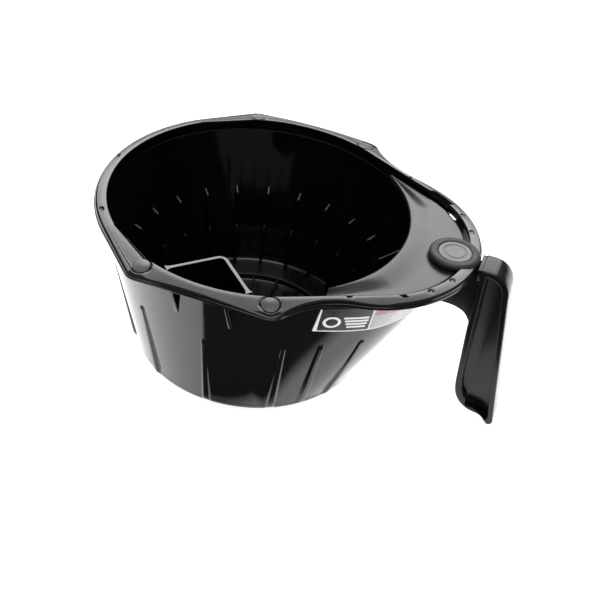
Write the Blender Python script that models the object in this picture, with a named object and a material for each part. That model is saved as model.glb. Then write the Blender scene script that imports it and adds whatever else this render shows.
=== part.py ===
"""Brew funnel (filter basket) of a commercial coffee brewer, in metres, +Z up.

The bowl's axis is vertical and the handle points to +X. The part stands on the plane
Z = 0, and its origin is the middle of its bounding box, on that plane.
"""

import math

import bmesh
import bpy
from mathutils import Vector

# Overall sizes
RIM_HEIGHT = 0.110  # top face of the rim above the foot plane
BOWL_MOUTH_R = 0.090  # inner edge of the rim
RIM_R = 0.0972  # outer edge of the rim round the bowl
NOSE_X = 0.061  # centre of the nose arc on the handle side
NOSE_R = 0.069  # outer edge of the rim round the nose
RAIL_Y = 0.0978  # outer face of each straight slide rail
RAIL_CORNER_X = 0.0365  # centre of the corner arc at each rail end
RAIL_CORNER_R = 0.0093
FLANK_R = 0.052  # hollow arc between a rail corner and the nose
GAP = 0.0003  # clearance between touching pieces

# Funnel wall
WALL = 0.0028
WALL_TOP_DROP = 0.0071  # top of the wall below the rim face
WALL_TOP_R = 0.0930
WALL_NOSE_R = 0.0575
BASE_R = 0.0713  # outer radius where the wall turns into the base
BASE_DROP = 0.1027  # underside of the base below the rim face
BASE_FILLET = 0.005
FLOOR = 0.0030
SUMP_R = 0.052  # radius of the sunken middle of the floor
SUMP_STEP = 0.0038
DRAIN_R = 0.0045

# Rim frame
RIM_DEPTH = 0.0050
RIM_BEVEL = 0.0016
NOSE_INNER_R = 0.0615  # inner edge of the rim round the nose
LEDGE = 0.0018
SLOT = 0.0024  # gap between the splash deck and the rim
SLOT_SPANS = ((-50, -20), (20, 50))  # degrees round the nose centre
WINDOW_SPAN = (41, 48)  # where the slot opens right through the ledge
NOTCH_SPANS = ((-67, -52), (50, 65))
NOTCH_DEPTH = 0.0030
PLUG_R = 0.0048
PLUG_DEPTH = 0.0012

# Ribs that hold the paper filter off the wall
FIN_COUNT = 24
FIN_WIDTH = 0.0018
FIN_TOP_DROP = 0.040
FIN_TIP_R = 0.0762
FIN_TIP_DROP = 0.047
FIN_KNEE_R = 0.0692
FIN_KNEE_DROP = 0.0694
FIN_FOOT_R = 0.0630
FLOOR_RIB_COUNT = 20
FLOOR_RIB_IN_R = 0.022
FLOOR_RIB_WIDTH = 0.0016

# Ribs and gussets outside
PAD_ANGLES = (30, 45, 60, 90, 120, 150)
PAD_TOP_DROP = 0.0425
PAD_TOP_WIDTH = 0.0036
PAD_FOOT_WIDTH = 0.0056
PAD_PROUD = 0.0009
GUSSET_X = 0.0155
GUSSET_WIDTH = 0.0022
GUSSET_DROP = 0.0265

# Splash deck
DECK_MOUTH_R = 0.086
DECK_TOP_DROP = 0.0032
DECK = 0.0015
DECK_HORN_X = 0.060
BEAD_WIDTH = 0.0045

# Bypass fence at the front rail
FENCE_APEX_Y = 0.0630
FENCE_HALF_ANGLE = 45
FENCE = 0.0014
FENCE_ROUND = 0.0045  # outside radius of its apex
FENCE_DEPTH = 0.028

# Handle
HANDLE_WIDTH = 0.018
NECK_WIDTH = 0.0166  # between the nose and the grip
NECK_DROP = 0.0085
GRIP_IN_X = 0.1322
GRIP_OUT_X = 0.1490
GRIP_LEAN = 0.0125  # how far the outer face leans out from top to toe
GRIP_TOP_DROP = 0.0008
CROWN_ACROSS = 0.0130  # the rounded top outer corner of the grip
CROWN_DOWN = 0.0150
GRIP_LIP = 0.0036
GRIP_RECESS = 0.0060
ARM_WIDTH = 0.0120
ARM_DROP = 0.0310
SCREW_R = 0.0014
SCREW_HEAD_R = 0.0026
SCREW_HEAD = 0.0015
SCREW_LENGTH = 0.0100
SCREW_Y = 0.0042
SCREW_X = 0.1225

# Badge on the nose
BADGE_X = 0.115
BADGE_R = 0.0148
BADGE_TOP = 0.0014  # above the rim face
BADGE_INSET_R = 0.0094
BADGE_INSET = 0.0008
BADGE_CAVITY_R = 0.0118

# Outlet under the base
FOOT_R = 0.0270
FOOT_WALL = 0.0028
FOOT_PLATE = 0.0022
NOZZLE_WALL = 0.0016

# Printed label on the wall
LABEL_START = 0.0070  # along the flat flank, from its bowl end
LABEL_NOSE_TURN = 20  # degrees that it goes on round the nose
LABEL_TOP_DROP = 0.0085
LABEL_FOOT_DROP = 0.0268  # at its bowl end
LABEL_FOOT_SAG = 0.0046  # how much lower its lower edge runs in its middle
LABEL_FILM = 0.0003

LOOP_POINTS = 96
TOE_X = GRIP_OUT_X + GRIP_LEAN
BOWL_X = -(TOE_X - RIM_R) / 2  # puts the middle of the bounding box on the origin


def clear_scene():
    for obj in list(bpy.data.objects):
        bpy.data.objects.remove(obj, do_unlink=True)


def material(name, colour, roughness, metallic=0.0):
    """A plain Principled material in the piece's colour."""
    mat = bpy.data.materials.new(name)
    mat.use_nodes = True
    shader = mat.node_tree.nodes["Principled BSDF"]
    shader.inputs["Base Color"].default_value = (*colour, 1.0)
    shader.inputs["Roughness"].default_value = roughness
    shader.inputs["Metallic"].default_value = metallic
    return mat


def level(drop):
    """Height above the foot plane of a place that lies this far below the rim face."""
    return RIM_HEIGHT - drop


def from_bmesh(name, bm, mat=None):
    """A new object at the origin that holds the bmesh, with its faces turned outwards."""
    bmesh.ops.recalc_face_normals(bm, faces=bm.faces)
    mesh = bpy.data.meshes.new(name)
    bm.to_mesh(mesh)
    bm.free()
    obj = bpy.data.objects.new(name, mesh)
    bpy.context.scene.collection.objects.link(obj)
    if mat:
        mesh.materials.append(mat)
    return obj


def prism(name, outline, low, high, mat=None):
    """The outline in X and Y, extruded from one height to the other."""
    bm = bmesh.new()
    face = bm.faces.new([bm.verts.new((x, y, low)) for x, y in outline])
    risen = bmesh.ops.extrude_face_region(bm, geom=[face])
    tops = [part for part in risen["geom"] if isinstance(part, bmesh.types.BMVert)]
    bmesh.ops.translate(bm, verts=tops, vec=(0, 0, high - low))
    return from_bmesh(name, bm, mat)


def side_prism(name, outline, width, mat=None):
    """The outline in X and Z, extruded by half the width to each side of the XZ plane."""
    bm = bmesh.new()
    face = bm.faces.new([bm.verts.new((x, -width / 2, z)) for x, z in outline])
    risen = bmesh.ops.extrude_face_region(bm, geom=[face])
    ends = [part for part in risen["geom"] if isinstance(part, bmesh.types.BMVert)]
    bmesh.ops.translate(bm, verts=ends, vec=(0, width, 0))
    return from_bmesh(name, bm, mat)


def loft(name, loops, mat=None, ring=False):
    """Faces between loops of as many points each; ring joins the last loop to the first."""
    bm = bmesh.new()
    rows = [[bm.verts.new(point) for point in loop] for loop in loops]
    count = len(rows[0])
    pairs = list(zip(rows, rows[1:]))
    if ring:
        pairs.append((rows[-1], rows[0]))
    else:
        bm.faces.new(rows[0])
        bm.faces.new(rows[-1])
    for one, two in pairs:
        for i in range(count):
            j = (i + 1) % count
            bm.faces.new((one[i], one[j], two[j], two[i]))
    return from_bmesh(name, bm, mat)


def combine(obj, other, operation):
    """A live exact Boolean; the other object becomes a hidden helper."""
    other.hide_render = True
    other.display_type = "WIRE"
    modifier = obj.modifiers.new(operation.title() + "_" + other.name, "BOOLEAN")
    modifier.operation = operation
    modifier.object = other
    modifier.solver = "EXACT"


def smooth(obj, angle=35):
    obj.data.shade_smooth()
    obj.data.set_sharp_from_angle(angle=math.radians(angle))


def arc(x, y, radius, start, end, count):
    """Points on a circle from one angle to the other, in degrees."""
    turns = [start + (end - start) * i / (count - 1) for i in range(count)]
    return [
        (x + radius * math.cos(math.radians(t)), y + radius * math.sin(math.radians(t)))
        for t in turns
    ]


def circle(x, y, radius, count=48):
    return arc(x, y, radius, 0, 360 - 360 / count, count)


def rim_outline(inset=0.0):
    """The rim seen from above: nose arc, hollow flank, rail with round corners, bowl arc.

    All arcs meet as tangents, so an inset only changes each radius.
    """
    corner_y = RAIL_Y - RAIL_CORNER_R
    # The flank arc's centre lies at the sum of radii from the corner and from the nose.
    near, far = RAIL_CORNER_R + FLANK_R, NOSE_R + FLANK_R
    dx, dy = NOSE_X - RAIL_CORNER_X, -corner_y
    apart = math.hypot(dx, dy)
    along = (near**2 - far**2 + apart**2) / (2 * apart)
    aside = math.sqrt(near**2 - along**2)
    flank_x = RAIL_CORNER_X + along * dx / apart - aside * dy / apart
    flank_y = corner_y + along * dy / apart + aside * dx / apart
    nose_turn = math.degrees(math.atan2(flank_y, flank_x - NOSE_X))
    corner_turn = math.degrees(math.atan2(flank_y - corner_y, flank_x - RAIL_CORNER_X))
    corner_far = math.hypot(RAIL_CORNER_X, corner_y)
    lean = math.degrees(math.acos((RIM_R - RAIL_CORNER_R) / corner_far))
    bowl_turn = 180 - math.degrees(math.atan2(corner_y, RAIL_CORNER_X)) + lean
    upper = arc(NOSE_X, 0, NOSE_R - inset, 0, nose_turn, 17)
    upper += arc(flank_x, flank_y, FLANK_R + inset, 180 + nose_turn, 180 + corner_turn, 7)
    corner_r = RAIL_CORNER_R - inset
    upper += arc(RAIL_CORNER_X, corner_y, corner_r, corner_turn, 90, 6)
    upper += arc(-RAIL_CORNER_X, corner_y, corner_r, 90, bowl_turn, 6)
    upper += arc(0, 0, RIM_R - inset, bowl_turn, 180, 12)
    return upper + [(x, -y) for x, y in upper[-2:0:-1]]


def teardrop(bowl_r, nose_r, nose_x, count=LOOP_POINTS):
    """A circle round the bowl's axis, drawn out to a smaller circle round the nose.

    The two are joined by their common tangents. Each point keeps its own angle, so that
    teardrops of different sizes join by straight lines that lie in the surface.
    """
    turn = math.degrees(math.acos((WALL_TOP_R - WALL_NOSE_R) / NOSE_X))
    points = []
    for i in range(count):
        angle = 360 * (i + 0.5) / count
        angle = angle - 360 if angle > 180 else angle
        on_nose = abs(angle) < turn
        x, radius = (nose_x, nose_r) if on_nose else (0.0, bowl_r)
        t = math.radians(angle)
        points.append((x + radius * math.cos(t), radius * math.sin(t)))
    return points


def wall_share(drop):
    """How far down the wall a drop lies: 0 at the wall's top, 1 where the base begins."""
    return (drop - WALL_TOP_DROP) / (BASE_DROP - BASE_FILLET - WALL_TOP_DROP)


def wall_loop(drop, inset=0.0, count=LOOP_POINTS):
    """The wall's outline at a drop below the rim face, moved inwards by the inset."""
    share = wall_share(drop)
    bowl_r = WALL_TOP_R + (BASE_R - WALL_TOP_R) * share
    nose_r = WALL_NOSE_R + (BASE_R - WALL_NOSE_R) * share
    nose_x = NOSE_X * (1 - share)
    outline = teardrop(bowl_r - inset, nose_r - inset, nose_x, count)
    return [(x, y, level(drop)) for x, y in outline]


def base_loop(radius, drop):
    return [(x, y, level(drop)) for x, y in teardrop(radius, radius, 0.0)]


def inner_volume(name, clearance):
    """The space inside the wall, kept the clearance away from it, with a flat top."""
    inset = WALL + clearance
    floor_drop = BASE_DROP - FLOOR - SUMP_STEP
    loops = [wall_loop(0.0, inset), wall_loop(floor_drop + FLOOR, inset)]
    return loft(name, loops)


def radial_plates(name, outline, turns, width):
    """One upright plate for each turn about the axis, from an outline in radius and Z."""
    bm = bmesh.new()
    for turn in turns:
        out = Vector((math.cos(math.radians(turn)), math.sin(math.radians(turn)), 0))
        side = Vector((-out.y, out.x, 0)) * width / 2
        faces = []
        for way in (-1, 1):
            points = [out * r + side * way + Vector((0, 0, z)) for r, z in outline]
            faces.append([bm.verts.new(p) for p in points])
        bm.faces.new(faces[0])
        bm.faces.new(faces[1][::-1])
        count = len(outline)
        for i in range(count):
            j = (i + 1) % count
            bm.faces.new((faces[0][i], faces[1][i], faces[1][j], faces[0][j]))
    return from_bmesh(name, bm)


def shell_loops():
    """The funnel's section as loops: down the outside, across the base, up the inside."""
    wall_end = BASE_DROP - BASE_FILLET
    loops = [wall_loop(WALL_TOP_DROP), wall_loop(wall_end)]
    for turn in (30, 60, 90):
        t = math.radians(turn)
        radius = BASE_R - BASE_FILLET + BASE_FILLET * math.cos(t)
        loops.append(base_loop(radius, wall_end + BASE_FILLET * math.sin(t)))
    floor_drop = BASE_DROP - FLOOR
    loops += [base_loop(DRAIN_R, BASE_DROP), base_loop(DRAIN_R, floor_drop)]
    loops += [base_loop(SUMP_R, floor_drop), base_loop(SUMP_R, floor_drop - SUMP_STEP)]
    loops += [wall_loop(floor_drop - SUMP_STEP, WALL), wall_loop(WALL_TOP_DROP, WALL)]
    return loops


def filter_fins():
    """Fins on the wall, in radius and Z, cut off inside the wall's thickness."""
    floor_drop = BASE_DROP - FLOOR - SUMP_STEP
    outline = [
        (NOSE_X + NOSE_R, level(FIN_TOP_DROP)),
        (WALL_TOP_R - WALL, level(FIN_TOP_DROP)),
        (FIN_TIP_R, level(FIN_TIP_DROP)),
        (FIN_KNEE_R, level(FIN_KNEE_DROP)),
        (FIN_FOOT_R, level(floor_drop + FLOOR / 2)),
        (NOSE_X + NOSE_R, level(floor_drop + FLOOR / 2)),
    ]
    turns = [360 * i / FIN_COUNT for i in range(FIN_COUNT)]
    fins = radial_plates("fin_plates", outline, turns, FIN_WIDTH)
    combine(fins, inner_volume("fin_limit", -WALL / 2), "INTERSECT")
    return fins


def floor_ribs():
    floor_drop = BASE_DROP - FLOOR
    outline = [
        (FLOOR_RIB_IN_R, level(floor_drop + FLOOR / 2)),
        (SUMP_R + FLOOR, level(floor_drop + FLOOR / 2)),
        (SUMP_R + FLOOR, level(floor_drop - SUMP_STEP)),
        (FLOOR_RIB_IN_R + SUMP_STEP, level(floor_drop - SUMP_STEP)),
    ]
    turns = [360 * i / FLOOR_RIB_COUNT for i in range(FLOOR_RIB_COUNT)]
    return radial_plates("floor_rib_plates", outline, turns, FLOOR_RIB_WIDTH)


def wall_reach(turn, drop):
    """Distance from the bowl's axis to the outside of the wall, in one direction."""
    t = math.radians(turn)
    out, side = Vector((math.cos(t), math.sin(t))), Vector((-math.sin(t), math.cos(t)))
    outline = [Vector(point[:2]) for point in wall_loop(drop)]
    for one, two in zip(outline, outline[1:] + outline[:1]):
        before, after = one.dot(side), two.dot(side)
        if before <= 0 < after and one.dot(out) > 0:
            return one.lerp(two, -before / (after - before)).dot(out)
    raise ValueError(f"the wall isn't closed at {turn} degrees")


def outer_pad(turn):
    """A raised rib on the outside of the wall, wider and prouder towards the base."""
    t = math.radians(turn)
    loops = []
    foot_drop = BASE_DROP - BASE_FILLET / 2
    for drop, width in ((PAD_TOP_DROP, PAD_TOP_WIDTH), (foot_drop, PAD_FOOT_WIDTH)):
        out = Vector((math.cos(t), math.sin(t), 0))
        side = Vector((-out.y, out.x, 0)) * width / 2
        foot = out * (wall_reach(turn, drop) - WALL / 2) + Vector((0, 0, level(drop)))
        crest = foot + out * (WALL / 2 + PAD_PROUD)
        loops.append([foot - side, foot + side, crest + side * 0.5, crest - side * 0.5])
    return loft(f"pad_{turn}", loops)


def gusset(side_x, side_y):
    """An upright bracket between the wall and the underside of a slide rail."""
    y_out = side_y * (RAIL_Y - RIM_BEVEL)
    y_in = side_y * (WALL_TOP_R - WALL)
    x_low, x_high = side_x * GUSSET_X - GUSSET_WIDTH / 2, side_x * GUSSET_X + GUSSET_WIDTH / 2
    top, foot = level(WALL_TOP_DROP), level(GUSSET_DROP)
    reach = side_y * (WALL_TOP_R - 3 * WALL)
    bm = bmesh.new()
    rows = []
    for x in (x_low, x_high):
        corners = ((y_in, top), (y_out, top), (reach + side_y * WALL, foot), (reach, foot))
        rows.append([bm.verts.new((x, y, z)) for y, z in corners])
    bm.faces.new(rows[0])
    bm.faces.new(rows[1][::-1])
    for i in range(4):
        j = (i + 1) % 4
        bm.faces.new((rows[0][i], rows[1][i], rows[1][j], rows[0][j]))
    return from_bmesh(f"gusset_{side_x}_{side_y}", bm)


def funnel_shell(mat):
    shell = loft("funnel_shell", shell_loops(), mat, ring=True)
    combine(shell, filter_fins(), "UNION")
    combine(shell, floor_ribs(), "UNION")
    for turn in PAD_ANGLES:
        combine(shell, outer_pad(turn), "UNION")
        combine(shell, outer_pad(-turn), "UNION")
    for side_x in (-1, 1):
        for side_y in (-1, 1):
            combine(shell, gusset(side_x, side_y), "UNION")
    smooth(shell)
    return shell


def nose_band(name, inner_r, outer_r, span, low_drop, high_drop):
    """A block between two arcs round the nose centre, over a span of angles."""
    steps = 12
    outline = arc(NOSE_X, 0, outer_r, span[0], span[1], steps)
    outline += arc(NOSE_X, 0, inner_r, span[1], span[0], steps)
    return prism(name, outline, level(low_drop), level(high_drop))


def rim_hole(inset, count=LOOP_POINTS):
    """The rim's opening: the bowl mouth drawn out to the nose, made smaller by an inset."""
    return teardrop(BOWL_MOUTH_R - inset, NOSE_INNER_R - inset, NOSE_X, count)


def plug_places():
    corner_y = RAIL_Y - RAIL_CORNER_R
    return [(x, y) for x in (-RAIL_CORNER_X, RAIL_CORNER_X) for y in (-corner_y, corner_y)]


def rim_frame(mat):
    """The rim: flat top, bevelled outer edge, inner ledge for the deck, slots and notches."""
    outer = rim_outline()
    inner_top = rim_outline(RIM_BEVEL)
    loops = [
        [(x, y, level(RIM_DEPTH)) for x, y in outer],
        [(x, y, level(RIM_BEVEL)) for x, y in outer],
        [(x, y, level(0.0)) for x, y in inner_top],
    ]
    frame = loft("rim_frame", loops, mat)
    hole = prism("rim_opening", rim_hole(0.0), level(2 * RIM_DEPTH), level(-RIM_DEPTH))
    combine(frame, hole, "DIFFERENCE")
    ledge_low, ledge_high = level(RIM_DEPTH + LEDGE), level(RIM_DEPTH - LEDGE / 2)
    bowl_out, nose_out = WALL_TOP_R, NOSE_INNER_R + WALL / 2
    ledge = prism("rim_ledge", teardrop(bowl_out, nose_out, NOSE_X), ledge_low, level(RIM_DEPTH))
    bowl_in, nose_in = BOWL_MOUTH_R - WALL / 4, WALL_NOSE_R - WALL
    mouth = teardrop(bowl_in, nose_in, NOSE_X)
    combine(ledge, prism("ledge_mouth", mouth, level(2 * RIM_DEPTH), ledge_high), "DIFFERENCE")
    combine(frame, ledge, "UNION")
    for number, span in enumerate(SLOT_SPANS):
        inner_r = NOSE_INNER_R - SLOT
        slot = nose_band(f"slot_{number}", inner_r, NOSE_INNER_R, span, RIM_DEPTH, -RIM_DEPTH)
        combine(frame, slot, "DIFFERENCE")
    through = RIM_DEPTH + 2 * LEDGE
    inner_r = NOSE_INNER_R - SLOT
    window = nose_band("window", inner_r, NOSE_INNER_R, WINDOW_SPAN, through, -RIM_DEPTH)
    combine(frame, window, "DIFFERENCE")
    for number, span in enumerate(NOTCH_SPANS):
        inner_r, outer_r = NOSE_INNER_R - SLOT, NOSE_R - 2 * RIM_BEVEL
        notch = nose_band(f"notch_{number}", inner_r, outer_r, span, NOTCH_DEPTH, -RIM_DEPTH)
        combine(frame, notch, "DIFFERENCE")
    seat_drop = DECK_TOP_DROP + GAP
    seat = prism("badge_seat", circle(BADGE_X, 0, BADGE_R + GAP), level(seat_drop), level(-0.01))
    combine(frame, seat, "DIFFERENCE")
    for number, (x, y) in enumerate(plug_places()):
        pocket = circle(x, y, PLUG_R + GAP, 24)
        drill = prism(f"plug_pocket_{number}", pocket, level(PLUG_DEPTH + GAP), level(-0.01))
        combine(frame, drill, "DIFFERENCE")
    for number, y in enumerate((-SCREW_Y, SCREW_Y)):
        hole = circle(SCREW_X, y, SCREW_R + GAP, 16)
        drill = prism(f"rim_screw_hole_{number}", hole, level(2 * RIM_DEPTH), level(0.0))
        combine(frame, drill, "DIFFERENCE")
    smooth(frame)
    return frame


def rail_plugs(mat):
    """The round plugs pressed into the four rail corners."""
    plugs = []
    for number, (x, y) in enumerate(plug_places(), 1):
        outline = circle(x, y, PLUG_R, 24)
        plugs.append(prism(f"rail_plug_{number}", outline, level(PLUG_DEPTH), level(0.0), mat))
    return plugs


def splash_deck(mat):
    """The plate that closes the nose, with a raised bead along the bowl's mouth."""
    low = level(DECK_TOP_DROP + DECK)
    outline = rim_hole(SLOT)
    deck = prism("splash_deck", outline, low, level(DECK_TOP_DROP), mat)
    bead = prism("deck_bead", circle(0, 0, DECK_MOUTH_R + BEAD_WIDTH, 96), low, level(GAP))
    trim = prism("deck_bead_limit", outline, low - DECK, level(-DECK))
    combine(bead, trim, "INTERSECT")
    combine(deck, bead, "UNION")
    mouth = circle(0, 0, DECK_MOUTH_R, 96)
    combine(deck, prism("deck_mouth", mouth, low - DECK, level(-DECK)), "DIFFERENCE")
    behind = ((-0.2, -0.2), (DECK_HORN_X, -0.2), (DECK_HORN_X, 0.2), (-0.2, 0.2))
    combine(deck, prism("deck_ends", behind, low - DECK, level(-DECK)), "DIFFERENCE")
    for number, y in enumerate((-SCREW_Y, SCREW_Y)):
        hole = circle(SCREW_X, y, SCREW_HEAD_R + GAP, 16)
        drill = prism(f"deck_screw_hole_{number}", hole, low - DECK, level(-DECK))
        combine(deck, drill, "DIFFERENCE")
    smooth(deck)
    return deck


def bypass_fence(mat):
    """A thin V-shaped wall that stands off the front of the bowl, open at top and foot.

    The apex is round, and the arms run from it out to the wall as tangents.
    """
    t = math.radians(FENCE_HALF_ANGLE)
    middle = -FENCE_APEX_Y - FENCE_ROUND
    reach = WALL_TOP_R + middle
    outline = []
    for radius, way in ((FENCE_ROUND, 1), (FENCE_ROUND - FENCE, -1)):
        bend = arc(0.0, middle, radius, FENCE_HALF_ANGLE, 180 - FENCE_HALF_ANGLE, 9)
        x, y = bend[0]
        right = (x + reach * math.sin(t), y - reach * math.cos(t))
        left = (-right[0], right[1])
        outline += [right, *bend, left][::way]
    fence = prism("bypass_fence", outline, level(FENCE_DEPTH), level(0.0), mat)
    combine(fence, inner_volume("fence_limit", GAP), "INTERSECT")
    mouth = circle(0, 0, BOWL_MOUTH_R - WALL / 4 - GAP, 96)
    below = level(FENCE_DEPTH + WALL)
    combine(fence, prism("fence_mouth", mouth, below, level(-WALL)), "INTERSECT")
    smooth(fence)
    return fence


def grip_outline(inset=0.0):
    """The grip seen from the side, in X and Z, from its neck round to its toe."""
    top, toe = level(GRIP_TOP_DROP) - inset, inset
    inner, outer = GRIP_IN_X + inset, GRIP_OUT_X - inset
    lean = GRIP_LEAN / RIM_HEIGHT
    across, down = CROWN_ACROSS - inset, CROWN_DOWN - inset
    turns = [math.radians(turn) for turn in (90, 68, 46, 24, 0)]
    middle_x, middle_z = outer + lean * down - across, top - down
    crown = [(inner, top)]
    crown += [(middle_x + across * math.cos(t), middle_z + down * math.sin(t)) for t in turns]
    back = [
        (outer + lean * 0.045, level(0.045)),
        (outer + lean * 0.085, level(0.085)),
        (outer + GRIP_LEAN, toe + 0.002),
        (outer + GRIP_LEAN - 0.0025, toe),
    ]
    foot = [
        (outer + GRIP_LEAN - 0.0045, toe + 0.0030),
        (outer + GRIP_LEAN - 0.0090, toe + 0.0062),
        (outer + GRIP_LEAN - 0.0160, toe + 0.0072),
        (inner + 0.0070, toe + 0.0105),
        (inner + 0.0030, toe + 0.0165),
        (inner + 0.0015, toe + 0.0240),
    ]
    return crown + back + foot + [(inner, level(0.045))]


def handle(mat):
    """The grip, recessed on both sides, and the arm that carries it under the nose."""
    grip = side_prism("handle", grip_outline(), HANDLE_WIDTH, mat)
    for side in (-1, 1):
        recess = side_prism(f"grip_recess_{side}", grip_outline(GRIP_LIP), HANDLE_WIDTH)
        recess.location.y = side * (HANDLE_WIDTH - GRIP_RECESS)
        combine(grip, recess, "DIFFERENCE")
    arm_top = level(RIM_DEPTH + GAP)
    wall_top = NOSE_X + WALL_NOSE_R + GAP
    slope = (wall_top - BASE_R) / (BASE_DROP - BASE_FILLET - WALL_TOP_DROP)
    arm = [
        (wall_top, level(WALL_TOP_DROP)),
        (wall_top - slope * (ARM_DROP - WALL_TOP_DROP), level(ARM_DROP)),
        (GRIP_IN_X - 0.0105, level(ARM_DROP + 0.0005)),
        (GRIP_IN_X - 0.0040, level(ARM_DROP + 0.0030)),
        (GRIP_IN_X - 0.0008, level(ARM_DROP + 0.0075)),
        (GRIP_IN_X + GRIP_LIP / 2, level(ARM_DROP + 0.0150)),
        (GRIP_IN_X + GRIP_LIP / 2, level(0.001)),
        (NOSE_X + NOSE_R + GAP, level(0.001)),
        (NOSE_X + NOSE_R + GAP, arm_top),
        (NOSE_X + NOSE_INNER_R + WALL / 2 + GAP, arm_top),
        (NOSE_X + NOSE_INNER_R + WALL / 2 + GAP, level(RIM_DEPTH + LEDGE + GAP)),
        (wall_top, level(RIM_DEPTH + LEDGE + GAP)),
    ]
    combine(grip, side_prism("handle_arm", arm, ARM_WIDTH), "UNION")
    neck = [
        (NOSE_X + NOSE_R + GAP, level(GRIP_TOP_DROP + 0.0004)),
        (GRIP_IN_X + GRIP_LIP / 2, level(GRIP_TOP_DROP + 0.0004)),
        (GRIP_IN_X + GRIP_LIP / 2, level(NECK_DROP)),
        (NOSE_X + NOSE_R + GAP, level(NECK_DROP)),
    ]
    combine(grip, side_prism("handle_neck", neck, NECK_WIDTH), "UNION")
    for number, y in enumerate((-SCREW_Y, SCREW_Y)):
        depth = DECK_TOP_DROP + GAP + SCREW_LENGTH + GAP
        hole = circle(SCREW_X, y, SCREW_R + GAP, 16)
        drill = prism(f"arm_screw_hole_{number}", hole, level(depth), level(0.0))
        combine(grip, drill, "DIFFERENCE")
    return grip


def handle_screws(mat):
    """Two pan-head screws that hold the arm to the nose, covered by the badge."""
    screws = []
    seat = level(DECK_TOP_DROP + GAP) + GAP
    for number, y in enumerate((-SCREW_Y, SCREW_Y), 1):
        loops = []
        steps = (
            (SCREW_R * 0.6, seat - SCREW_LENGTH),
            (SCREW_R, seat - SCREW_LENGTH + SCREW_R),
            (SCREW_R, seat),
            (SCREW_HEAD_R, seat),
            (SCREW_HEAD_R, seat + SCREW_HEAD * 0.6),
            (SCREW_HEAD_R * 0.7, seat + SCREW_HEAD),
        )
        for radius, z in steps:
            loops.append([(px, py, z) for px, py in circle(SCREW_X, y, radius, 16)])
        screws.append(loft(f"handle_screw_{number}", loops, mat))
    return screws


def badge(cup_mat, disc_mat):
    """The round cup on the nose and the pale disc set into its top."""
    low, high = level(DECK_TOP_DROP), level(-BADGE_TOP)
    cup_rings = (
        (BADGE_R - 0.0008, low + GAP),
        (BADGE_R, low + 0.0012),
        (BADGE_R, high - 0.0014),
        (BADGE_R - 0.0014, high),
        (BADGE_INSET_R + GAP, high),
        (BADGE_INSET_R + GAP, high - BADGE_INSET - GAP),
    )
    loops = [[(x, y, z) for x, y in circle(BADGE_X, 0, r, 64)] for r, z in cup_rings]
    cup = loft("badge_cup", loops, cup_mat)
    roof = low + GAP + SCREW_HEAD + 2 * GAP
    cavity = prism("cup_cavity", circle(BADGE_X, 0, BADGE_CAVITY_R), low - GAP, roof)
    combine(cup, cavity, "DIFFERENCE")
    smooth(cup)
    outline = circle(BADGE_X, 0, BADGE_INSET_R, 64)
    disc = prism("badge_disc", outline, high - BADGE_INSET, high, disc_mat)
    return cup, disc


def outlet_ring(mat):
    """The ring the funnel stands on, with the drain nozzle in its middle."""
    top = level(BASE_DROP) - GAP
    rings = (
        (FOOT_R, top),
        (FOOT_R, 0.0),
        (FOOT_R - FOOT_WALL, 0.0),
        (FOOT_R - FOOT_WALL, top - FOOT_PLATE),
        (DRAIN_R + NOZZLE_WALL, top - FOOT_PLATE),
        (DRAIN_R + NOZZLE_WALL, 0.0015),
        (DRAIN_R, 0.0015),
        (DRAIN_R, top),
    )
    loops = [[(x, y, z) for x, y in circle(0, 0, r, 64)] for r, z in rings]
    ring = loft("outlet_ring", loops, mat, ring=True)
    smooth(ring)
    return ring


def label_points(drops, stand):
    """Places on the outside of the wall: along the front flank, then round the nose.

    Each has a drop of its own, and they stand off the wall by the same distance.
    """
    turn = math.acos((WALL_TOP_R - WALL_NOSE_R) / NOSE_X)
    out = Vector((math.cos(turn), -math.sin(turn)))
    on_flank = len(drops) * 2 // 3
    points = []
    for i, drop in enumerate(drops):
        share = wall_share(drop)
        bowl_r = WALL_TOP_R + (BASE_R - WALL_TOP_R) * share + stand
        nose_r = WALL_NOSE_R + (BASE_R - WALL_NOSE_R) * share + stand
        nose = Vector((NOSE_X * (1 - share), 0))
        if i < on_flank:
            first = out * bowl_r
            last = nose + out * nose_r
            start = LABEL_START / (last - first).length
            place = first.lerp(last, start + (1 - start) * i / (on_flank - 1))
        else:
            more = math.radians(LABEL_NOSE_TURN) * (i - on_flank + 1) / (len(drops) - on_flank)
            place = nose + Vector((math.cos(turn - more), -math.sin(turn - more))) * nose_r
        points.append((place.x, place.y, level(drop)))
    return points


def info_label(mat):
    """The printed film on the outside of the wall, below the front of the nose."""
    columns = 18
    tops = [LABEL_TOP_DROP] * columns
    foots = []
    for i in range(columns):
        sag = LABEL_FOOT_SAG * math.sin(math.pi * i / (columns - 1))
        foots.append(LABEL_FOOT_DROP + sag)
    near, far = GAP, GAP + LABEL_FILM
    sides = ((tops, near), (tops, far), (foots, far), (foots, near))
    corners = [label_points(drops, stand) for drops, stand in sides]
    loops = [list(loop) for loop in zip(*corners)]
    return loft("info_label", loops, mat)


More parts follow.
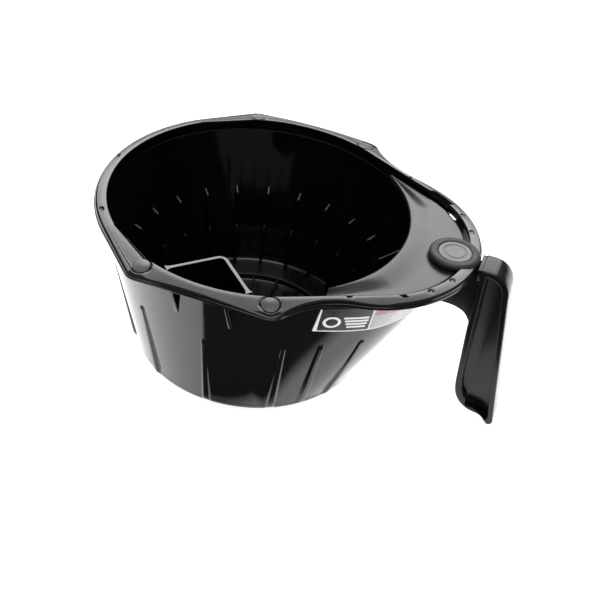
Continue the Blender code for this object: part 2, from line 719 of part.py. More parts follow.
def main():
    clear_scene()
    black = material("black_polypropylene", (0.012, 0.012, 0.013), 0.22)
    deck_black = material("deck_polypropylene", (0.020, 0.020, 0.022), 0.38)
    rubber = material("badge_rubber", (0.020, 0.020, 0.021), 0.55)
    grey = material("badge_grey", (0.40, 0.40, 0.42), 0.45)
    film = material("label_film", (0.05, 0.05, 0.055), 0.35)
    steel = material("screw_steel", (0.55, 0.55, 0.56), 0.30, 1.0)

    pieces = [
        funnel_shell(black),
        rim_frame(black),
        splash_deck(deck_black),
        bypass_fence(black),
        handle(black),
        outlet_ring(black),
        info_label(film),
    ]
    pieces += rail_plugs(black)
    pieces += handle_screws(steel)
    pieces += badge(rubber, grey)

    axis = bpy.data.objects.new("bowl_axis", None)
    axis.location.x = BOWL_X
    bpy.context.scene.collection.objects.link(axis)
    for obj in bpy.data.objects:
        if obj.type == "MESH":
            obj.parent = axis


if __name__ == "__main__":
    main()
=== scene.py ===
"""Coffee brew funnel: the visible pieces, their finishes, and a plain studio round them.

Every shape is worked out as whole arrays in metres. The frame's numbers are kept about the bowl's
own axis, with drops measured down from the rim face, and placed once by `stand`.
"""

import math

import bmesh
import bpy
import numpy as np
from bpy.props import FloatProperty, FloatVectorProperty, IntProperty, PointerProperty
from mathutils import Matrix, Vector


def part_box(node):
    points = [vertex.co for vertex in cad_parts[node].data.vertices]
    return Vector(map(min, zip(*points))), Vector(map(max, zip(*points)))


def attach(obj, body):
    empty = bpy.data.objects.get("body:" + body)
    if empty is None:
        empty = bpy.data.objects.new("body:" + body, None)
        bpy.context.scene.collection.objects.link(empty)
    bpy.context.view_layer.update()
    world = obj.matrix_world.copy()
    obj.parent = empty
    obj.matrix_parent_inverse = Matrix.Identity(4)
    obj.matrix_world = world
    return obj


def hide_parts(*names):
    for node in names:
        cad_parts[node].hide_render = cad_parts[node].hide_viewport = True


bl_info = {
    "name": "Brew Funnel",
    "version": (1, 0, 0),
    "blender": (4, 5, 0),
    "location": "3D View > Sidebar > Funnel",
    "description": "Builds a moulded coffee brew funnel on its packed frame, with a studio",
    "category": "Add Mesh",
}

MM = 0.001

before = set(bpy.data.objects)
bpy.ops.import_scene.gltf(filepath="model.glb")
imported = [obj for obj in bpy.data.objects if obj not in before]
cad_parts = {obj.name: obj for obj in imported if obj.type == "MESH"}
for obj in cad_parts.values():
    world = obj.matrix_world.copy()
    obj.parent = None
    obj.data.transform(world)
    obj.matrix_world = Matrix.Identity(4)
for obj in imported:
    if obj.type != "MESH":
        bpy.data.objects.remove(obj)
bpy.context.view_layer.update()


def middle(node, axis):
    low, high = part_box(node)
    return (low[axis] + high[axis]) / 2


def reach(node, axis):
    low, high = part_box(node)
    return (high[axis] - low[axis]) / 2


BOWL_X = middle("outlet_ring", 0)
RIM_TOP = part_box("rim_frame")[1].z
BASE_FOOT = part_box("funnel_shell")[0].z
NOSE_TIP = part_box("rim_frame")[1].x - BOWL_X

# Rim outline, seen from above
NOSE_X = 0.061
RAIL_CORNER_X = 0.0365
RAIL_CORNER_R = 0.0093
FLANK_R = 0.052
MOUTH_R = 0.090
NOSE_MOUTH_R = 0.0615
RIM_DEPTH = 0.0050
RIM_BEVEL = 1.8 * MM
SLOT = 0.0024
WINDOW_SPANS = ((41, 48),)
LAND_FLAT = 0.0019  # the land is level this far out from the opening, then falls away
LAND_FALL = 0.26
LAND_BEND = 0.0014
NOTCH_SPANS = ((-55.5, -53), (50, 65))
NOTCH_DEPTH = 0.0030
LEDGE_FOOT = 0.0068
SINK_R = 0.0019
SINKS = (
    (-94.5, 2.4), (-78.0, 52.0), (-78.0, -52.0), (72.0, -64.4), (72.0, 64.4),
    (111.0, 40.0), (111.0, -40.0), (119.5, 25.5), (119.5, -25.5),
)

# Bowl wall
WALL = 0.0028
WALL_TOP = 0.0071
WALL_TOP_R = 0.0930
WALL_NOSE_R = 0.0575
BASE_R = 0.0713
BASE_FILLET = 0.005
FLOOR = 0.0030
SUMP_R = 0.052
SUMP_STEP = 0.0038
DRAIN_R = 0.0045
FIN_DROPS = np.array([0.0400, 0.0470, 0.0682, 0.0704, 0.0959])
FIN_REACH = np.array([0.0902, 0.0762, 0.0712, 0.0690, 0.0630])
FIN_HALF = 0.0009
FIN_COUNT = 24
FIN_PITCH = 15  # degrees
RIB_START = 0.0225
PAD_TURNS = np.radians([30, 45, 60, 90, 120, 150])
PAD_TOP = 0.0425
PAD_PROUD = 0.0009
GUSSET_X = 0.0155
GUSSET_HALF = 0.0011
GUSSET_FOOT = 0.0265

# Splash deck
DECK_MOUTH_R = 0.086
DECK_DROP = 0.0032
DECK_HORN_X = 0.060

# Fence
FENCE_APEX = 0.0630
FENCE_ROUND = 0.0045
FENCE_WALL = 0.0014
FENCE_DEPTH = 0.028

# Handle, in the side view
GRIP_IN = 0.1322
GRIP_OUT = 0.1490
GRIP_LEAN = 0.0125
GRIP_DROP = 0.0008
CROWN_ACROSS = 0.0130
CROWN_DOWN = 0.0150
ARM_HALF = 0.0060
ARM_DROP = 0.0310
NECK_HALF = 0.0083
NECK_DROP = 0.0085

# Label
LABEL_START = 0.0070
LABEL_TURN = 20
LABEL_TOP = 0.0085
LABEL_FOOT = 0.0268
LABEL_SAG = 0.0046
FILM = 0.0003
STAND_OFF = 0.0003


# Painted table reflection: the edges of its dark quarter, a painted shadow of the object, and how bright that is
TABLE_LEAN = -0.373
TABLE_LEFT = (-0.0122, -0.0091)
TABLE_SLOPE = 1.13
TABLE_START = -0.0725
TABLE_NEAR = (-0.073, -0.066)
TABLE_BLUR = (-0.003, 0.006)
TABLE_SHADOW_LEVEL = 0.03

SENSOR = 36  # millimetres across


# Mesh tools


def stand(points):
    """Places on the bowl's axis, with drops as the third number, become places in the frame."""
    placed = np.array(points, float)
    placed[..., 0] += BOWL_X
    placed[..., 2] = RIM_TOP - placed[..., 2]
    return placed


def grid_faces(rows, columns, wrap_rows=False, wrap_columns=True):
    """Four corners for each cell of a grid: a place, the next along, and the two below them."""
    r = np.arange(rows if wrap_rows else rows - 1)
    c = np.arange(columns if wrap_columns else columns - 1)
    r, c = (part.ravel() for part in np.meshgrid(r, c, indexing="ij"))
    down, along = (r + 1) % rows, (c + 1) % columns
    return np.stack(
        [r * columns + c, r * columns + along, down * columns + along, down * columns + c], 1
    )


def volume(points, faces):
    """Six times the signed volume: the sum of the tetrahedra from the middle to each face."""
    corners = points[faces] - points.mean(0)
    one = np.einsum("ij,ij->i", corners[:, 0], np.cross(corners[:, 1], corners[:, 2]))
    two = np.einsum("ij,ij->i", corners[:, 0], np.cross(corners[:, 2], corners[:, 3]))
    return (one + two).sum()


def shell(grid, wrap_rows=False, wrap_columns=True, caps=()):
    """A closed skin from a grid of places, turned outwards.

    A cap closes the grid's first or last row or column with one flat face.
    """
    rows, columns = grid.shape[:2]
    points = grid.reshape(-1, 3)
    faces = grid_faces(rows, columns, wrap_rows, wrap_columns)
    index = np.arange(rows * columns).reshape(rows, columns)
    ends = {
        "first_row": index[0][::-1],
        "last_row": index[-1],
        "first_column": index[:, 0],
        "last_column": index[:, -1][::-1],
    }
    loops = [ends[cap] for cap in caps]
    if volume(points, faces) < 0:
        faces, loops = faces[:, ::-1], [loop[::-1] for loop in loops]
    return points, faces, loops


def weld(mesh, within=1e-7):
    """Joins places that are the same, as where a profile has a hard corner, and drops the faces
    with no area between them."""
    edit = bmesh.new()
    edit.from_mesh(mesh)
    bmesh.ops.remove_doubles(edit, verts=edit.verts, dist=within)
    edit.to_mesh(mesh)
    edit.free()


def put_piece(name, skins, finishes, stands_for, finish_of=None, sharp=40):
    """One mesh object from its skins, which rides on the frame and stands for its CAD nodes."""
    points = np.concatenate([stand(skin[0]) for skin in skins])
    starts = np.cumsum([0] + [len(skin[0]) for skin in skins])
    faces = []
    for skin, start in zip(skins, starts):
        # A drop is measured downwards, so placing a skin mirrors it: each face is turned back.
        faces += (skin[1][:, ::-1] + start).tolist()
        faces += [(loop[::-1] + start).tolist() for loop in skin[2]]
    mesh = bpy.data.meshes.new(name)
    mesh.from_pydata(points.tolist(), [], faces)
    weld(mesh)
    for finish in finishes:
        mesh.materials.append(finish)
    if finish_of is not None:
        centres = np.empty(len(mesh.polygons) * 3)
        mesh.polygons.foreach_get("center", centres)
        normals = np.empty(len(mesh.polygons) * 3)
        mesh.polygons.foreach_get("normal", normals)
        chosen = finish_of(centres.reshape(-1, 3), normals.reshape(-1, 3))
        mesh.polygons.foreach_set("material_index", chosen.astype(np.int32))
    mesh.shade_smooth()
    mesh.set_sharp_from_angle(angle=math.radians(sharp))
    mesh.update()
    piece = bpy.data.objects.new(name, mesh)
    bpy.context.scene.collection.objects.link(piece)
    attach(piece, "root")
    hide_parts(*stands_for)
    return piece


def rounded(corners, radius, steps=5, closed=True):
    """A line through corners, each turned into a curve that starts and ends its radius away.

    The curve is the parabola that leaves along one side and arrives along the next. It starts
    at most 0.45 of the way along the shorter side.
    """
    corners = np.array(corners, float)
    radius = np.broadcast_to(np.asarray(radius, float), len(corners)).copy()
    if not closed:
        radius[[0, -1]] = 0
    before, after = np.roll(corners, 1, 0) - corners, np.roll(corners, -1, 0) - corners
    long_before = np.maximum(np.linalg.norm(before, axis=1), 1e-9)
    long_after = np.maximum(np.linalg.norm(after, axis=1), 1e-9)
    cut = np.minimum(radius, 0.45 * np.minimum(long_before, long_after))
    start = corners + before * (cut / long_before)[:, None]
    end = corners + after * (cut / long_after)[:, None]
    t = np.linspace(0, 1, steps)[None, :, None]
    curve = (1 - t) ** 2 * start[:, None] + 2 * t * (1 - t) * corners[:, None] + t**2 * end[:, None]
    return curve.reshape(-1, corners.shape[1])


def ease(low, high, value):
    """0 below low, 1 above high, and a smooth cubic step between them."""
    t = np.clip((value - low) / (high - low), 0, 1)
    return t * t * (3 - 2 * t)


def revolve(profile, x=0.0, y=0.0, count=96):
    """A profile in radius and drop, turned about an upright axis."""
    turns = np.linspace(0, 2 * np.pi, count, endpoint=False)
    r, drop = profile[:, 0][:, None], profile[:, 1][:, None]
    return np.stack(
        [x + r * np.cos(turns), y + r * np.sin(turns), np.broadcast_to(drop, (len(profile), count))],
        2,
    )


def normals_of(outline):
    """Outward normals of a closed line in two numbers that runs anticlockwise."""
    along = np.roll(outline, -1, 0) - np.roll(outline, 1, 0)
    along /= np.maximum(np.linalg.norm(along, axis=1, keepdims=True), 1e-12)
    return np.stack([along[:, 1], -along[:, 0]], 1)


# Outlines


def arc(x, y, radius, start, end, step=1.2 * MM):
    """Places on a circle from one angle to the other, in degrees, about a step apart."""
    count = max(4, int(abs(math.radians(end - start)) * radius / step))
    turns = np.radians(np.linspace(start, end, count, endpoint=False))
    return np.stack([x + radius * np.cos(turns), y + radius * np.sin(turns)], 1)


def rim_outline(sizes):
    """The rim from above: nose arc, hollow flank, rail corner, rail, corner, bowl arc, mirrored.

    Neighbouring arcs share a tangent: their centres lie at the sum or difference of radii.
    """
    nose_r = sizes.nose_reach - NOSE_X
    corner_y = sizes.rail_reach - RAIL_CORNER_R
    near, far = RAIL_CORNER_R + FLANK_R, nose_r + FLANK_R
    dx, dy = NOSE_X - RAIL_CORNER_X, -corner_y
    apart = math.hypot(dx, dy)
    along = (near**2 - far**2 + apart**2) / (2 * apart)
    aside = math.sqrt(near**2 - along**2)
    flank_x = RAIL_CORNER_X + along * dx / apart - aside * dy / apart
    flank_y = corner_y + along * dy / apart + aside * dx / apart
    nose_turn = math.degrees(math.atan2(flank_y, flank_x - NOSE_X))
    corner_turn = math.degrees(math.atan2(flank_y - corner_y, flank_x - RAIL_CORNER_X))
    lean = math.degrees(math.acos((sizes.rim_radius - RAIL_CORNER_R) / math.hypot(RAIL_CORNER_X, corner_y)))
    bowl_turn = 180 - math.degrees(math.atan2(corner_y, RAIL_CORNER_X)) + lean
    rail = np.linspace(RAIL_CORNER_X, -RAIL_CORNER_X, 60, endpoint=False)
    upper = np.concatenate([
        arc(NOSE_X, 0, nose_r, 0, nose_turn, 0.7 * MM),
        arc(flank_x, flank_y, FLANK_R, 180 + nose_turn, 180 + corner_turn),
        arc(RAIL_CORNER_X, corner_y, RAIL_CORNER_R, corner_turn, 90, 0.5 * MM),
        np.stack([rail, np.full(60, sizes.rail_reach)], 1),
        arc(-RAIL_CORNER_X, corner_y, RAIL_CORNER_R, 90, bowl_turn, 0.5 * MM),
        arc(0, 0, sizes.rim_radius, bowl_turn, 180, 0.9 * MM),
        [[-sizes.rim_radius, 0.0]],
    ])
    return np.concatenate([upper, upper[-2:0:-1] * [1, -1]])


def teardrop_reach(turns, bowl_r, nose_r, nose_x, touch):
    """How far a teardrop lies from the bowl's axis in each direction.

    It is the bowl's circle outside the touching angle, the nose's circle ahead, and between
    them the straight line that touches both.
    """
    t = np.abs((turns + np.pi) % (2 * np.pi) - np.pi)
    ahead = nose_x * np.cos(t) + np.sqrt(np.maximum(nose_r**2 - (nose_x * np.sin(t)) ** 2, 0))
    nose_end = np.arctan2(nose_r * np.sin(touch), nose_x + nose_r * np.cos(touch))
    flank = bowl_r / np.cos(np.clip(t - touch, -1.4, 1.4))
    return np.where(t > touch, bowl_r, np.where(t > nose_end, flank, ahead))


WALL_TOUCH = math.acos((WALL_TOP_R - WALL_NOSE_R) / NOSE_X)
HOLE_TOUCH = math.acos((MOUTH_R - NOSE_MOUTH_R) / NOSE_X)


def hole_reach(turns, inset=0.0):
    """The rim's opening, made smaller by an inset."""
    return teardrop_reach(turns, MOUTH_R - inset, NOSE_MOUTH_R - inset, NOSE_X, HOLE_TOUCH)


def wall_reach(turns, drop, base_drop, inset=0.0):
    """The wall's outside at a drop: the top teardrop shrinks in proportion to the base circle."""
    share = (drop - WALL_TOP) / (base_drop - BASE_FILLET - WALL_TOP)
    share = np.clip(share, 0, 1)
    bowl_r = WALL_TOP_R + (BASE_R - WALL_TOP_R) * share - inset
    nose_r = WALL_NOSE_R + (BASE_R - WALL_NOSE_R) * share - inset
    return teardrop_reach(turns, bowl_r, nose_r, NOSE_X * (1 - share) + 1e-6, WALL_TOUCH)


def land_drop(x, y):
    """How far the land has fallen at a place: level beside the opening, then an even slope.

    The two are joined by a hyperbola, so that there is no crease.
    """
    past = np.hypot(x, y) - hole_reach(np.arctan2(y, x)) - LAND_FLAT
    return LAND_FALL * (past + np.hypot(past, LAND_BEND)) / 2


def nose_turn_of(x, y):
    return np.degrees(np.arctan2(y, x - NOSE_X))


def within(spans, turns, blur=0.8):
    """1 inside any of the spans, in degrees, easing to 0 over a blur at each end."""
    inside = np.zeros_like(turns)
    for low, high in spans:
        inside = np.maximum(inside, ease(low - blur, low + blur, turns) * (1 - ease(high - blur, high + blur, turns)))
    return inside


# Finishes


def linear(code):
    """An sRGB hex colour as linear red, green, blue and alpha."""
    parts = np.array([int(code[i : i + 2], 16) for i in (1, 3, 5)]) / 255
    return (*np.where(parts > 0.04045, ((parts + 0.055) / 1.055) ** 2.4, parts / 12.92), 1.0)


def add(tree, kind, inputs=None, **settings):
    """Adds a node, sets its own settings, and gives each named input a value or a link."""
    made = tree.nodes.new("ShaderNode" + kind)
    for name, value in settings.items():
        setattr(made, name, value)
    for name, value in (inputs or {}).items():
        if isinstance(value, bpy.types.NodeSocket):
            tree.links.new(value, made.inputs[name])
        else:
            made.inputs[name].default_value = value
    return made


def blank_finish(name):
    """A new material with an empty tree, and its object coordinates."""
    finish = bpy.data.materials.new(name)
    finish.use_nodes = True
    finish.node_tree.nodes.clear()
    return finish, finish.node_tree, add(finish.node_tree, "TexCoord").outputs["Object"]


def close_finish(tree, shader):
    tree.links.new(shader.outputs["BSDF"], add(tree, "OutputMaterial").inputs["Surface"])


def span(tree, value, low, high, to_low, to_high):
    """A value from one range, mapped to another and kept inside it."""
    inputs = {"Value": value, "From Min": low, "From Max": high, "To Min": to_low, "To Max": to_high}
    return add(tree, "MapRange", inputs).outputs["Result"]


def noise(tree, where, size_mm, detail=2.0, roughness=0.5):
    """Noise whose lumps are about this many millimetres across."""
    inputs = {"Vector": where, "Scale": 1000 / size_mm, "Detail": detail, "Roughness": roughness}
    return add(tree, "TexNoise", inputs).outputs["Fac"]


def mix(tree, share, one, two):
    """One colour turned into another by a share. Sockets 6, 7 and 2 are the colour ones."""
    return add(tree, "Mix", {"Factor": share, 6: one, 7: two}, data_type="RGBA").outputs[2]


def maths(tree, operation, *values):
    """One arithmetic node on its values, in order."""
    return add(tree, "Math", dict(enumerate(values)), operation=operation).outputs[0]


def relief(tree, height, strength, depth_mm, **under):
    """A bump this many millimetres deep, on top of another when one is given as Normal."""
    inputs = {"Strength": strength, "Distance": depth_mm * MM, "Height": height, **under}
    return add(tree, "Bump", inputs).outputs["Normal"]


def close_solid(finish, tree, tint, rough, normal, ior=1.50, **more):
    """Ends a finish in one solid surface, and gives the finish back."""
    inputs = {"Base Color": tint, "Roughness": rough, "IOR": ior, "Normal": normal}
    shader = add(tree, "BsdfPrincipled", {**inputs, **more})
    close_finish(tree, shader)
    return finish


def gloss_polypropylene(colour):
    """Polypropylene from a polished mould: a deep black gloss with the faint ripple that cooling
    leaves, hairline rubs from washing, and dull patches where hands and water marks dry."""
    finish, tree, where = blank_finish("polypropylene, moulded gloss")
    ripple = noise(tree, where, 2.2, 1.5)
    pores = noise(tree, where, 0.35, 2.0)
    smear = noise(tree, where, 34.0, 4.0, 0.6)
    stretched = add(tree, "Mapping", {"Vector": where, "Rotation": (0.3, 0.5, 0.9), "Scale": (1, 14, 1)})
    rubs = noise(tree, stretched.outputs["Vector"], 9.0, 3.0, 0.7)
    rub = span(tree, rubs, 0.60, 0.72, 0.0, 1.0)
    dull = span(tree, smear, 0.35, 0.75, 0.05, 0.11)
    rough = maths(tree, "ADD", dull, span(tree, rubs, 0.58, 0.74, 0.0, 0.05))
    tint = mix(tree, rub, colour, linear("#161617"))
    fine = relief(tree, pores, 0.03, 0.01, Normal=relief(tree, ripple, 0.04, 0.04))
    return close_solid(finish, tree, tint, rough, fine, 1.46)


def grip_polypropylene(colour):
    """Polypropylene grip, moulded semi-gloss and handled: a softer sheen than the bowl's, with
    broad smears of polish and fine pits."""
    finish, tree, where = blank_finish("polypropylene, moulded semi-gloss")
    smear = noise(tree, where, 18.0, 3.0, 0.6)
    pits = noise(tree, where, 0.5, 2.0)
    tint = mix(tree, span(tree, smear, 0.4, 0.8, 0.0, 1.0), colour, linear("#101011"))
    rough = span(tree, smear, 0.3, 0.7, 0.27, 0.20)
    bump = relief(tree, pits, 0.08, 0.02)
    return close_solid(finish, tree, tint, rough, bump, **{"Specular IOR Level": 0.3})


def textured_polypropylene(colour):
    """Polypropylene from a spark-eroded mould: an even grain that spreads a light into a broad sheen, and a faint
    polish where it slides. Its grey tint, paler than the black body, is partly painted sheen, and the darker flecks
    in its pits are painted shade."""
    finish, tree, where = blank_finish("polypropylene, textured land")
    grain = noise(tree, where, 0.45, 3.0, 0.65)
    cloud = noise(tree, where, 9.0, 3.0)
    pit_shade = span(tree, grain, 0.36, 0.60, 0.0, 1.0)
    # The grey tint is partly painted sheen: paler than the black body, and varied at random by the cloud.
    pale = mix(tree, span(tree, cloud, 0.3, 0.7, 0.0, 1.0), colour, linear("#262628"))
    # Painted shade: the tint darkens to near black where the grain is low, in its pits.
    tint = mix(tree, pit_shade, linear("#141415"), pale)
    rough = span(tree, cloud, 0.3, 0.7, 0.34, 0.28)
    bump = relief(tree, grain, 0.30, 0.05)
    return close_solid(finish, tree, tint, rough, bump, **{"Specular IOR Level": 0.95})


def satin_polypropylene(colour):
    """Polypropylene from a blasted mould: a smooth satin grey sheen, with broad cloudy flow
    marks and a very fine tooth."""
    finish, tree, where = blank_finish("polypropylene, moulded satin")
    flow = noise(tree, where, 26.0, 2.0, 0.4)
    tooth = noise(tree, where, 0.30, 2.0)
    tint = mix(tree, span(tree, flow, 0.3, 0.7, 0.0, 1.0), colour, linear("#26272A"))
    rough = span(tree, flow, 0.25, 0.75, 0.24, 0.33)
    bump = relief(tree, tooth, 0.15, 0.02)
    return close_solid(finish, tree, tint, rough, bump)


def moulded_rubber(colour):
    """EPDM rubber, compression moulded: dull, faintly dusty, with a soft grain."""
    finish, tree, where = blank_finish("EPDM rubber, moulded")
    grain = noise(tree, where, 0.45, 3.0)
    dust = noise(tree, where, 5.0, 4.0, 0.6)
    tint = mix(tree, span(tree, dust, 0.45, 0.75, 0.0, 1.0), colour, linear("#2E2E30"))
    rough = span(tree, dust, 0.3, 0.7, 0.48, 0.62)
    bump = relief(tree, grain, 0.30, 0.04)
    return close_solid(finish, tree, tint, rough, bump, 1.52)


def printed_disc(colour):
    """ABS disc with a silver-grey lacquer: fine speckle of the metal flake, low even gloss."""
    finish, tree, where = blank_finish("ABS, grey lacquered")
    flake = noise(tree, where, 0.25, 2.0, 0.7)
    haze = noise(tree, where, 7.0, 2.0)
    tint = mix(tree, span(tree, flake, 0.35, 0.65, 0.0, 1.0), colour, linear("#7A7A7E"))
    rough = span(tree, haze, 0.3, 0.7, 0.42, 0.50)
    bump = relief(tree, flake, 0.12, 0.02)
    return close_solid(finish, tree, tint, rough, bump)


def plated_steel():
    """Zinc-plated steel: a cool bright metal with fine turning lines round the screw."""
    finish, tree, where = blank_finish("steel, zinc plated")
    patch = noise(tree, where, 1.2, 3.0)
    tint = mix(tree, patch, linear("#A9ABAE"), linear("#C9CBCD"))
    rough = span(tree, patch, 0.3, 0.7, 0.24, 0.38)
    bump = relief(tree, noise(tree, where, 0.2, 2.0), 0.2, 0.02)
    return close_solid(finish, tree, tint, rough, bump, Metallic=1.0)


def inside_box(tree, u, v, left, right, low, high, soft=0.12):
    """1 inside a box on the film, in millimetres, with an ink edge this soft."""
    parts = [
        span(tree, u, left - soft, left + soft, 0.0, 1.0),
        span(tree, u, right - soft, right + soft, 1.0, 0.0),
        span(tree, v, low - soft, low + soft, 0.0, 1.0),
        span(tree, v, high - soft, high + soft, 1.0, 0.0),
    ]
    product = parts[0]
    for part in parts[1:]:
        product = maths(tree, "MULTIPLY", product, part)
    return product


def printed_film():
    """Screen-printed polyester film: flat inks under a clear gloss, a pale border, plain
    bars and a ring on the dark panel, and a pale panel with a faded red band."""
    finish, tree, where = blank_finish("polyester film, screen printed")
    place = add(tree, "UVMap", uv_map="film")
    parts = add(tree, "SeparateXYZ", {"Vector": place.outputs["UV"]})
    u, v = parts.outputs["X"], parts.outputs["Y"]
    ink, white, grey = linear("#0B0B0C"), linear("#E2E3E5"), linear("#A6A8AC")
    tint = mix(tree, inside_box(tree, u, v, 0.7, 31.2, 0.8, 40.0), white, ink)
    # Plain figure: bars beside a ring, which stand for nothing.
    for low, left, right in ((3.2, 18.0, 29.0), (5.7, 17.0, 29.5), (8.2, 16.0, 30.0), (10.7, 15.0, 30.0)):
        tint = mix(tree, inside_box(tree, u, v, left, right, low, low + 1.5), tint, white)
    across, up = maths(tree, "SUBTRACT", u, 8.4), maths(tree, "SUBTRACT", v, 7.9)
    wide, tall = maths(tree, "MULTIPLY", across, across), maths(tree, "MULTIPLY", up, up)
    away = maths(tree, "ADD", wide, maths(tree, "MULTIPLY", tall, 1.4))
    outside, inside = span(tree, away, 12.0, 14.0, 0.0, 1.0), span(tree, away, 28.0, 31.0, 1.0, 0.0)
    ring = maths(tree, "MULTIPLY", outside, inside)
    tint = mix(tree, ring, tint, white)
    tint = mix(tree, inside_box(tree, u, v, 31.9, 80.0, 0.8, 40.0), tint, grey)
    tint = mix(tree, inside_box(tree, u, v, 33.0, 80.0, 12.6, 40.0), tint, linear("#A9797A"))
    for low, left, right in ((2.6, 42.0, 52.0), (5.2, 44.0, 57.0), (7.8, 44.0, 54.0), (10.2, 46.0, 60.0)):
        tint = mix(tree, inside_box(tree, u, v, left, right, low, low + 1.0), tint, linear("#D5D6D8"))
    fibre = noise(tree, where, 0.4, 2.0)
    tint = mix(tree, span(tree, fibre, 0.55, 0.8, 0.0, 0.25), tint, linear("#55565A"))
    rough = span(tree, noise(tree, where, 6.0, 2.0), 0.3, 0.7, 0.22, 0.34)
    bump = relief(tree, fibre, 0.1, 0.02)
    return close_solid(finish, tree, tint, rough, bump, 1.57)


def studio_card():
    """Matt white paper sweep: a pale, even floor."""
    finish, tree, where = blank_finish("paper, matt white")
    tooth = noise(tree, where, 3.0, 2.0)
    tint = mix(tree, tooth, linear("#F4F4F4"), linear("#F8F8F8"))
    close_finish(tree, add(tree, "BsdfPrincipled", {
        "Base Color": tint, "Roughness": 0.9, "Specular IOR Level": 0.0,
        "Emission Color": (1, 1, 1, 1), "Emission Strength": 0.9,
    }))
    finish.cycles.emission_sampling = "NONE"
    return finish


def painted_table_reflection():
    """A painted reflection of the lit table: a glowing card that only the gloss sees, painted brighter away from the
    object, with a dark quarter in front that is a painted shadow of the object. The quarter starts at a slanted edge
    on the left, just clear of the foot, and its near edge turns away to the right."""
    finish, tree, where = blank_finish("table, painted reflection and shadow")
    place = add(tree, "SeparateXYZ", {"Vector": where})
    x, y = place.outputs["X"], place.outputs["Y"]
    leaned = maths(tree, "MULTIPLY_ADD", y, TABLE_LEAN, x)
    right_of = span(tree, leaned, *TABLE_LEFT, 0.0, 1.0)
    edge = maths(tree, "MULTIPLY_ADD", x, TABLE_SLOPE, TABLE_START)
    near = maths(tree, "MAXIMUM", maths(tree, "MINIMUM", edge, TABLE_NEAR[1]), TABLE_NEAR[0])
    in_front = span(tree, maths(tree, "SUBTRACT", near, y), *TABLE_BLUR, 0.0, 1.0)
    # Painted shadow: the dark quarter is the object's own shadow on the table, painted into the glow.
    dark = maths(tree, "MULTIPLY", right_of, in_front)
    away = add(tree, "VectorMath", {0: where}, operation="LENGTH").outputs["Value"]
    # Painted shading: the glow grows brighter farther from the object.
    bright = span(tree, away, 0.06, 0.16, 1.5, 2.25)
    strength = maths(tree, "MULTIPLY", bright, span(tree, dark, 0.0, 1.0, 1.0, TABLE_SHADOW_LEVEL))
    glow = add(tree, "Emission", {"Color": (1, 1, 1, 1), "Strength": strength})
    tree.links.new(glow.outputs["Emission"], add(tree, "OutputMaterial").inputs["Surface"])
    finish.cycles.emission_sampling = "NONE"
    return finish


def finish_named(name, make, *given):
    """The finish of this name, made the first time that a piece asks for it."""
    return bpy.data.materials.get(name) or make(*given)


def black_gloss(context):
    body = tuple(context.scene.funnel_finish.body)
    return finish_named("polypropylene, moulded gloss", gloss_polypropylene, body)


def textured_land(context):
    land = tuple(context.scene.funnel_finish.land)
    return finish_named("polypropylene, textured land", textured_polypropylene, land)


# Pieces


def funnel_columns():
    """Directions round the bowl: close together at each fin and pad, wider between them."""
    near = np.array([0, .3, .5, .6, .7, .82, .98, 1.2, 1.45, 1.7, 2.0, 2.4, 2.9, 3.6])
    steps = np.concatenate([-near[:0:-1], near, [5.0, 6.3, 7.5, 8.7, 10.0]])
    return np.sort(np.radians((np.arange(FIN_COUNT)[:, None] * FIN_PITCH + steps[None]).ravel() % 360))


def fin_inset(turns, reach_now, drop, width=FIN_HALF):
    """The inside of the wall brought in to each fin's edge.

    Across a fin the edge is full inside half its width and falls to the wall just outside it.
    """
    nearest = np.round(turns / np.radians(FIN_PITCH)) * np.radians(FIN_PITCH)
    edge = np.interp(drop, FIN_DROPS, FIN_REACH)
    off = np.abs(np.minimum(edge, reach_now) * np.sin(turns - nearest))
    crest = edge + 0.5 * MM * (off / width) ** 2
    cover = 1 - ease(width - 0.25 * MM, width + 0.15 * MM, off)
    return reach_now - cover * np.maximum(reach_now - crest, 0) * (drop >= FIN_DROPS[0])


def pad_swell(turns, reach_now, drop, base_drop):
    """How far the outside stands out on a pad: a flat crest with sloping sides, a ledge at its
    top, and a fade into the base's rounding."""
    folded = np.abs((turns + np.pi) % (2 * np.pi) - np.pi)
    off = np.abs(folded[..., None] - PAD_TURNS).min(-1)
    off = reach_now * np.sin(off)
    down = np.clip((drop - PAD_TOP) / (base_drop - PAD_TOP), 0, 1)
    crest, foot = (0.9 + 0.5 * down) * MM, (1.5 + 1.8 * down) * MM
    side = 1 - ease(0, 1, (off - crest) / (foot - crest))
    top = ease(PAD_TOP - 0.2 * MM, PAD_TOP + 0.7 * MM, drop)
    end = 1 - ease(base_drop - BASE_FILLET - 1 * MM, base_drop - BASE_FILLET / 2, drop)
    return PAD_PROUD * (1 + 1.3 * down) * side * top * end


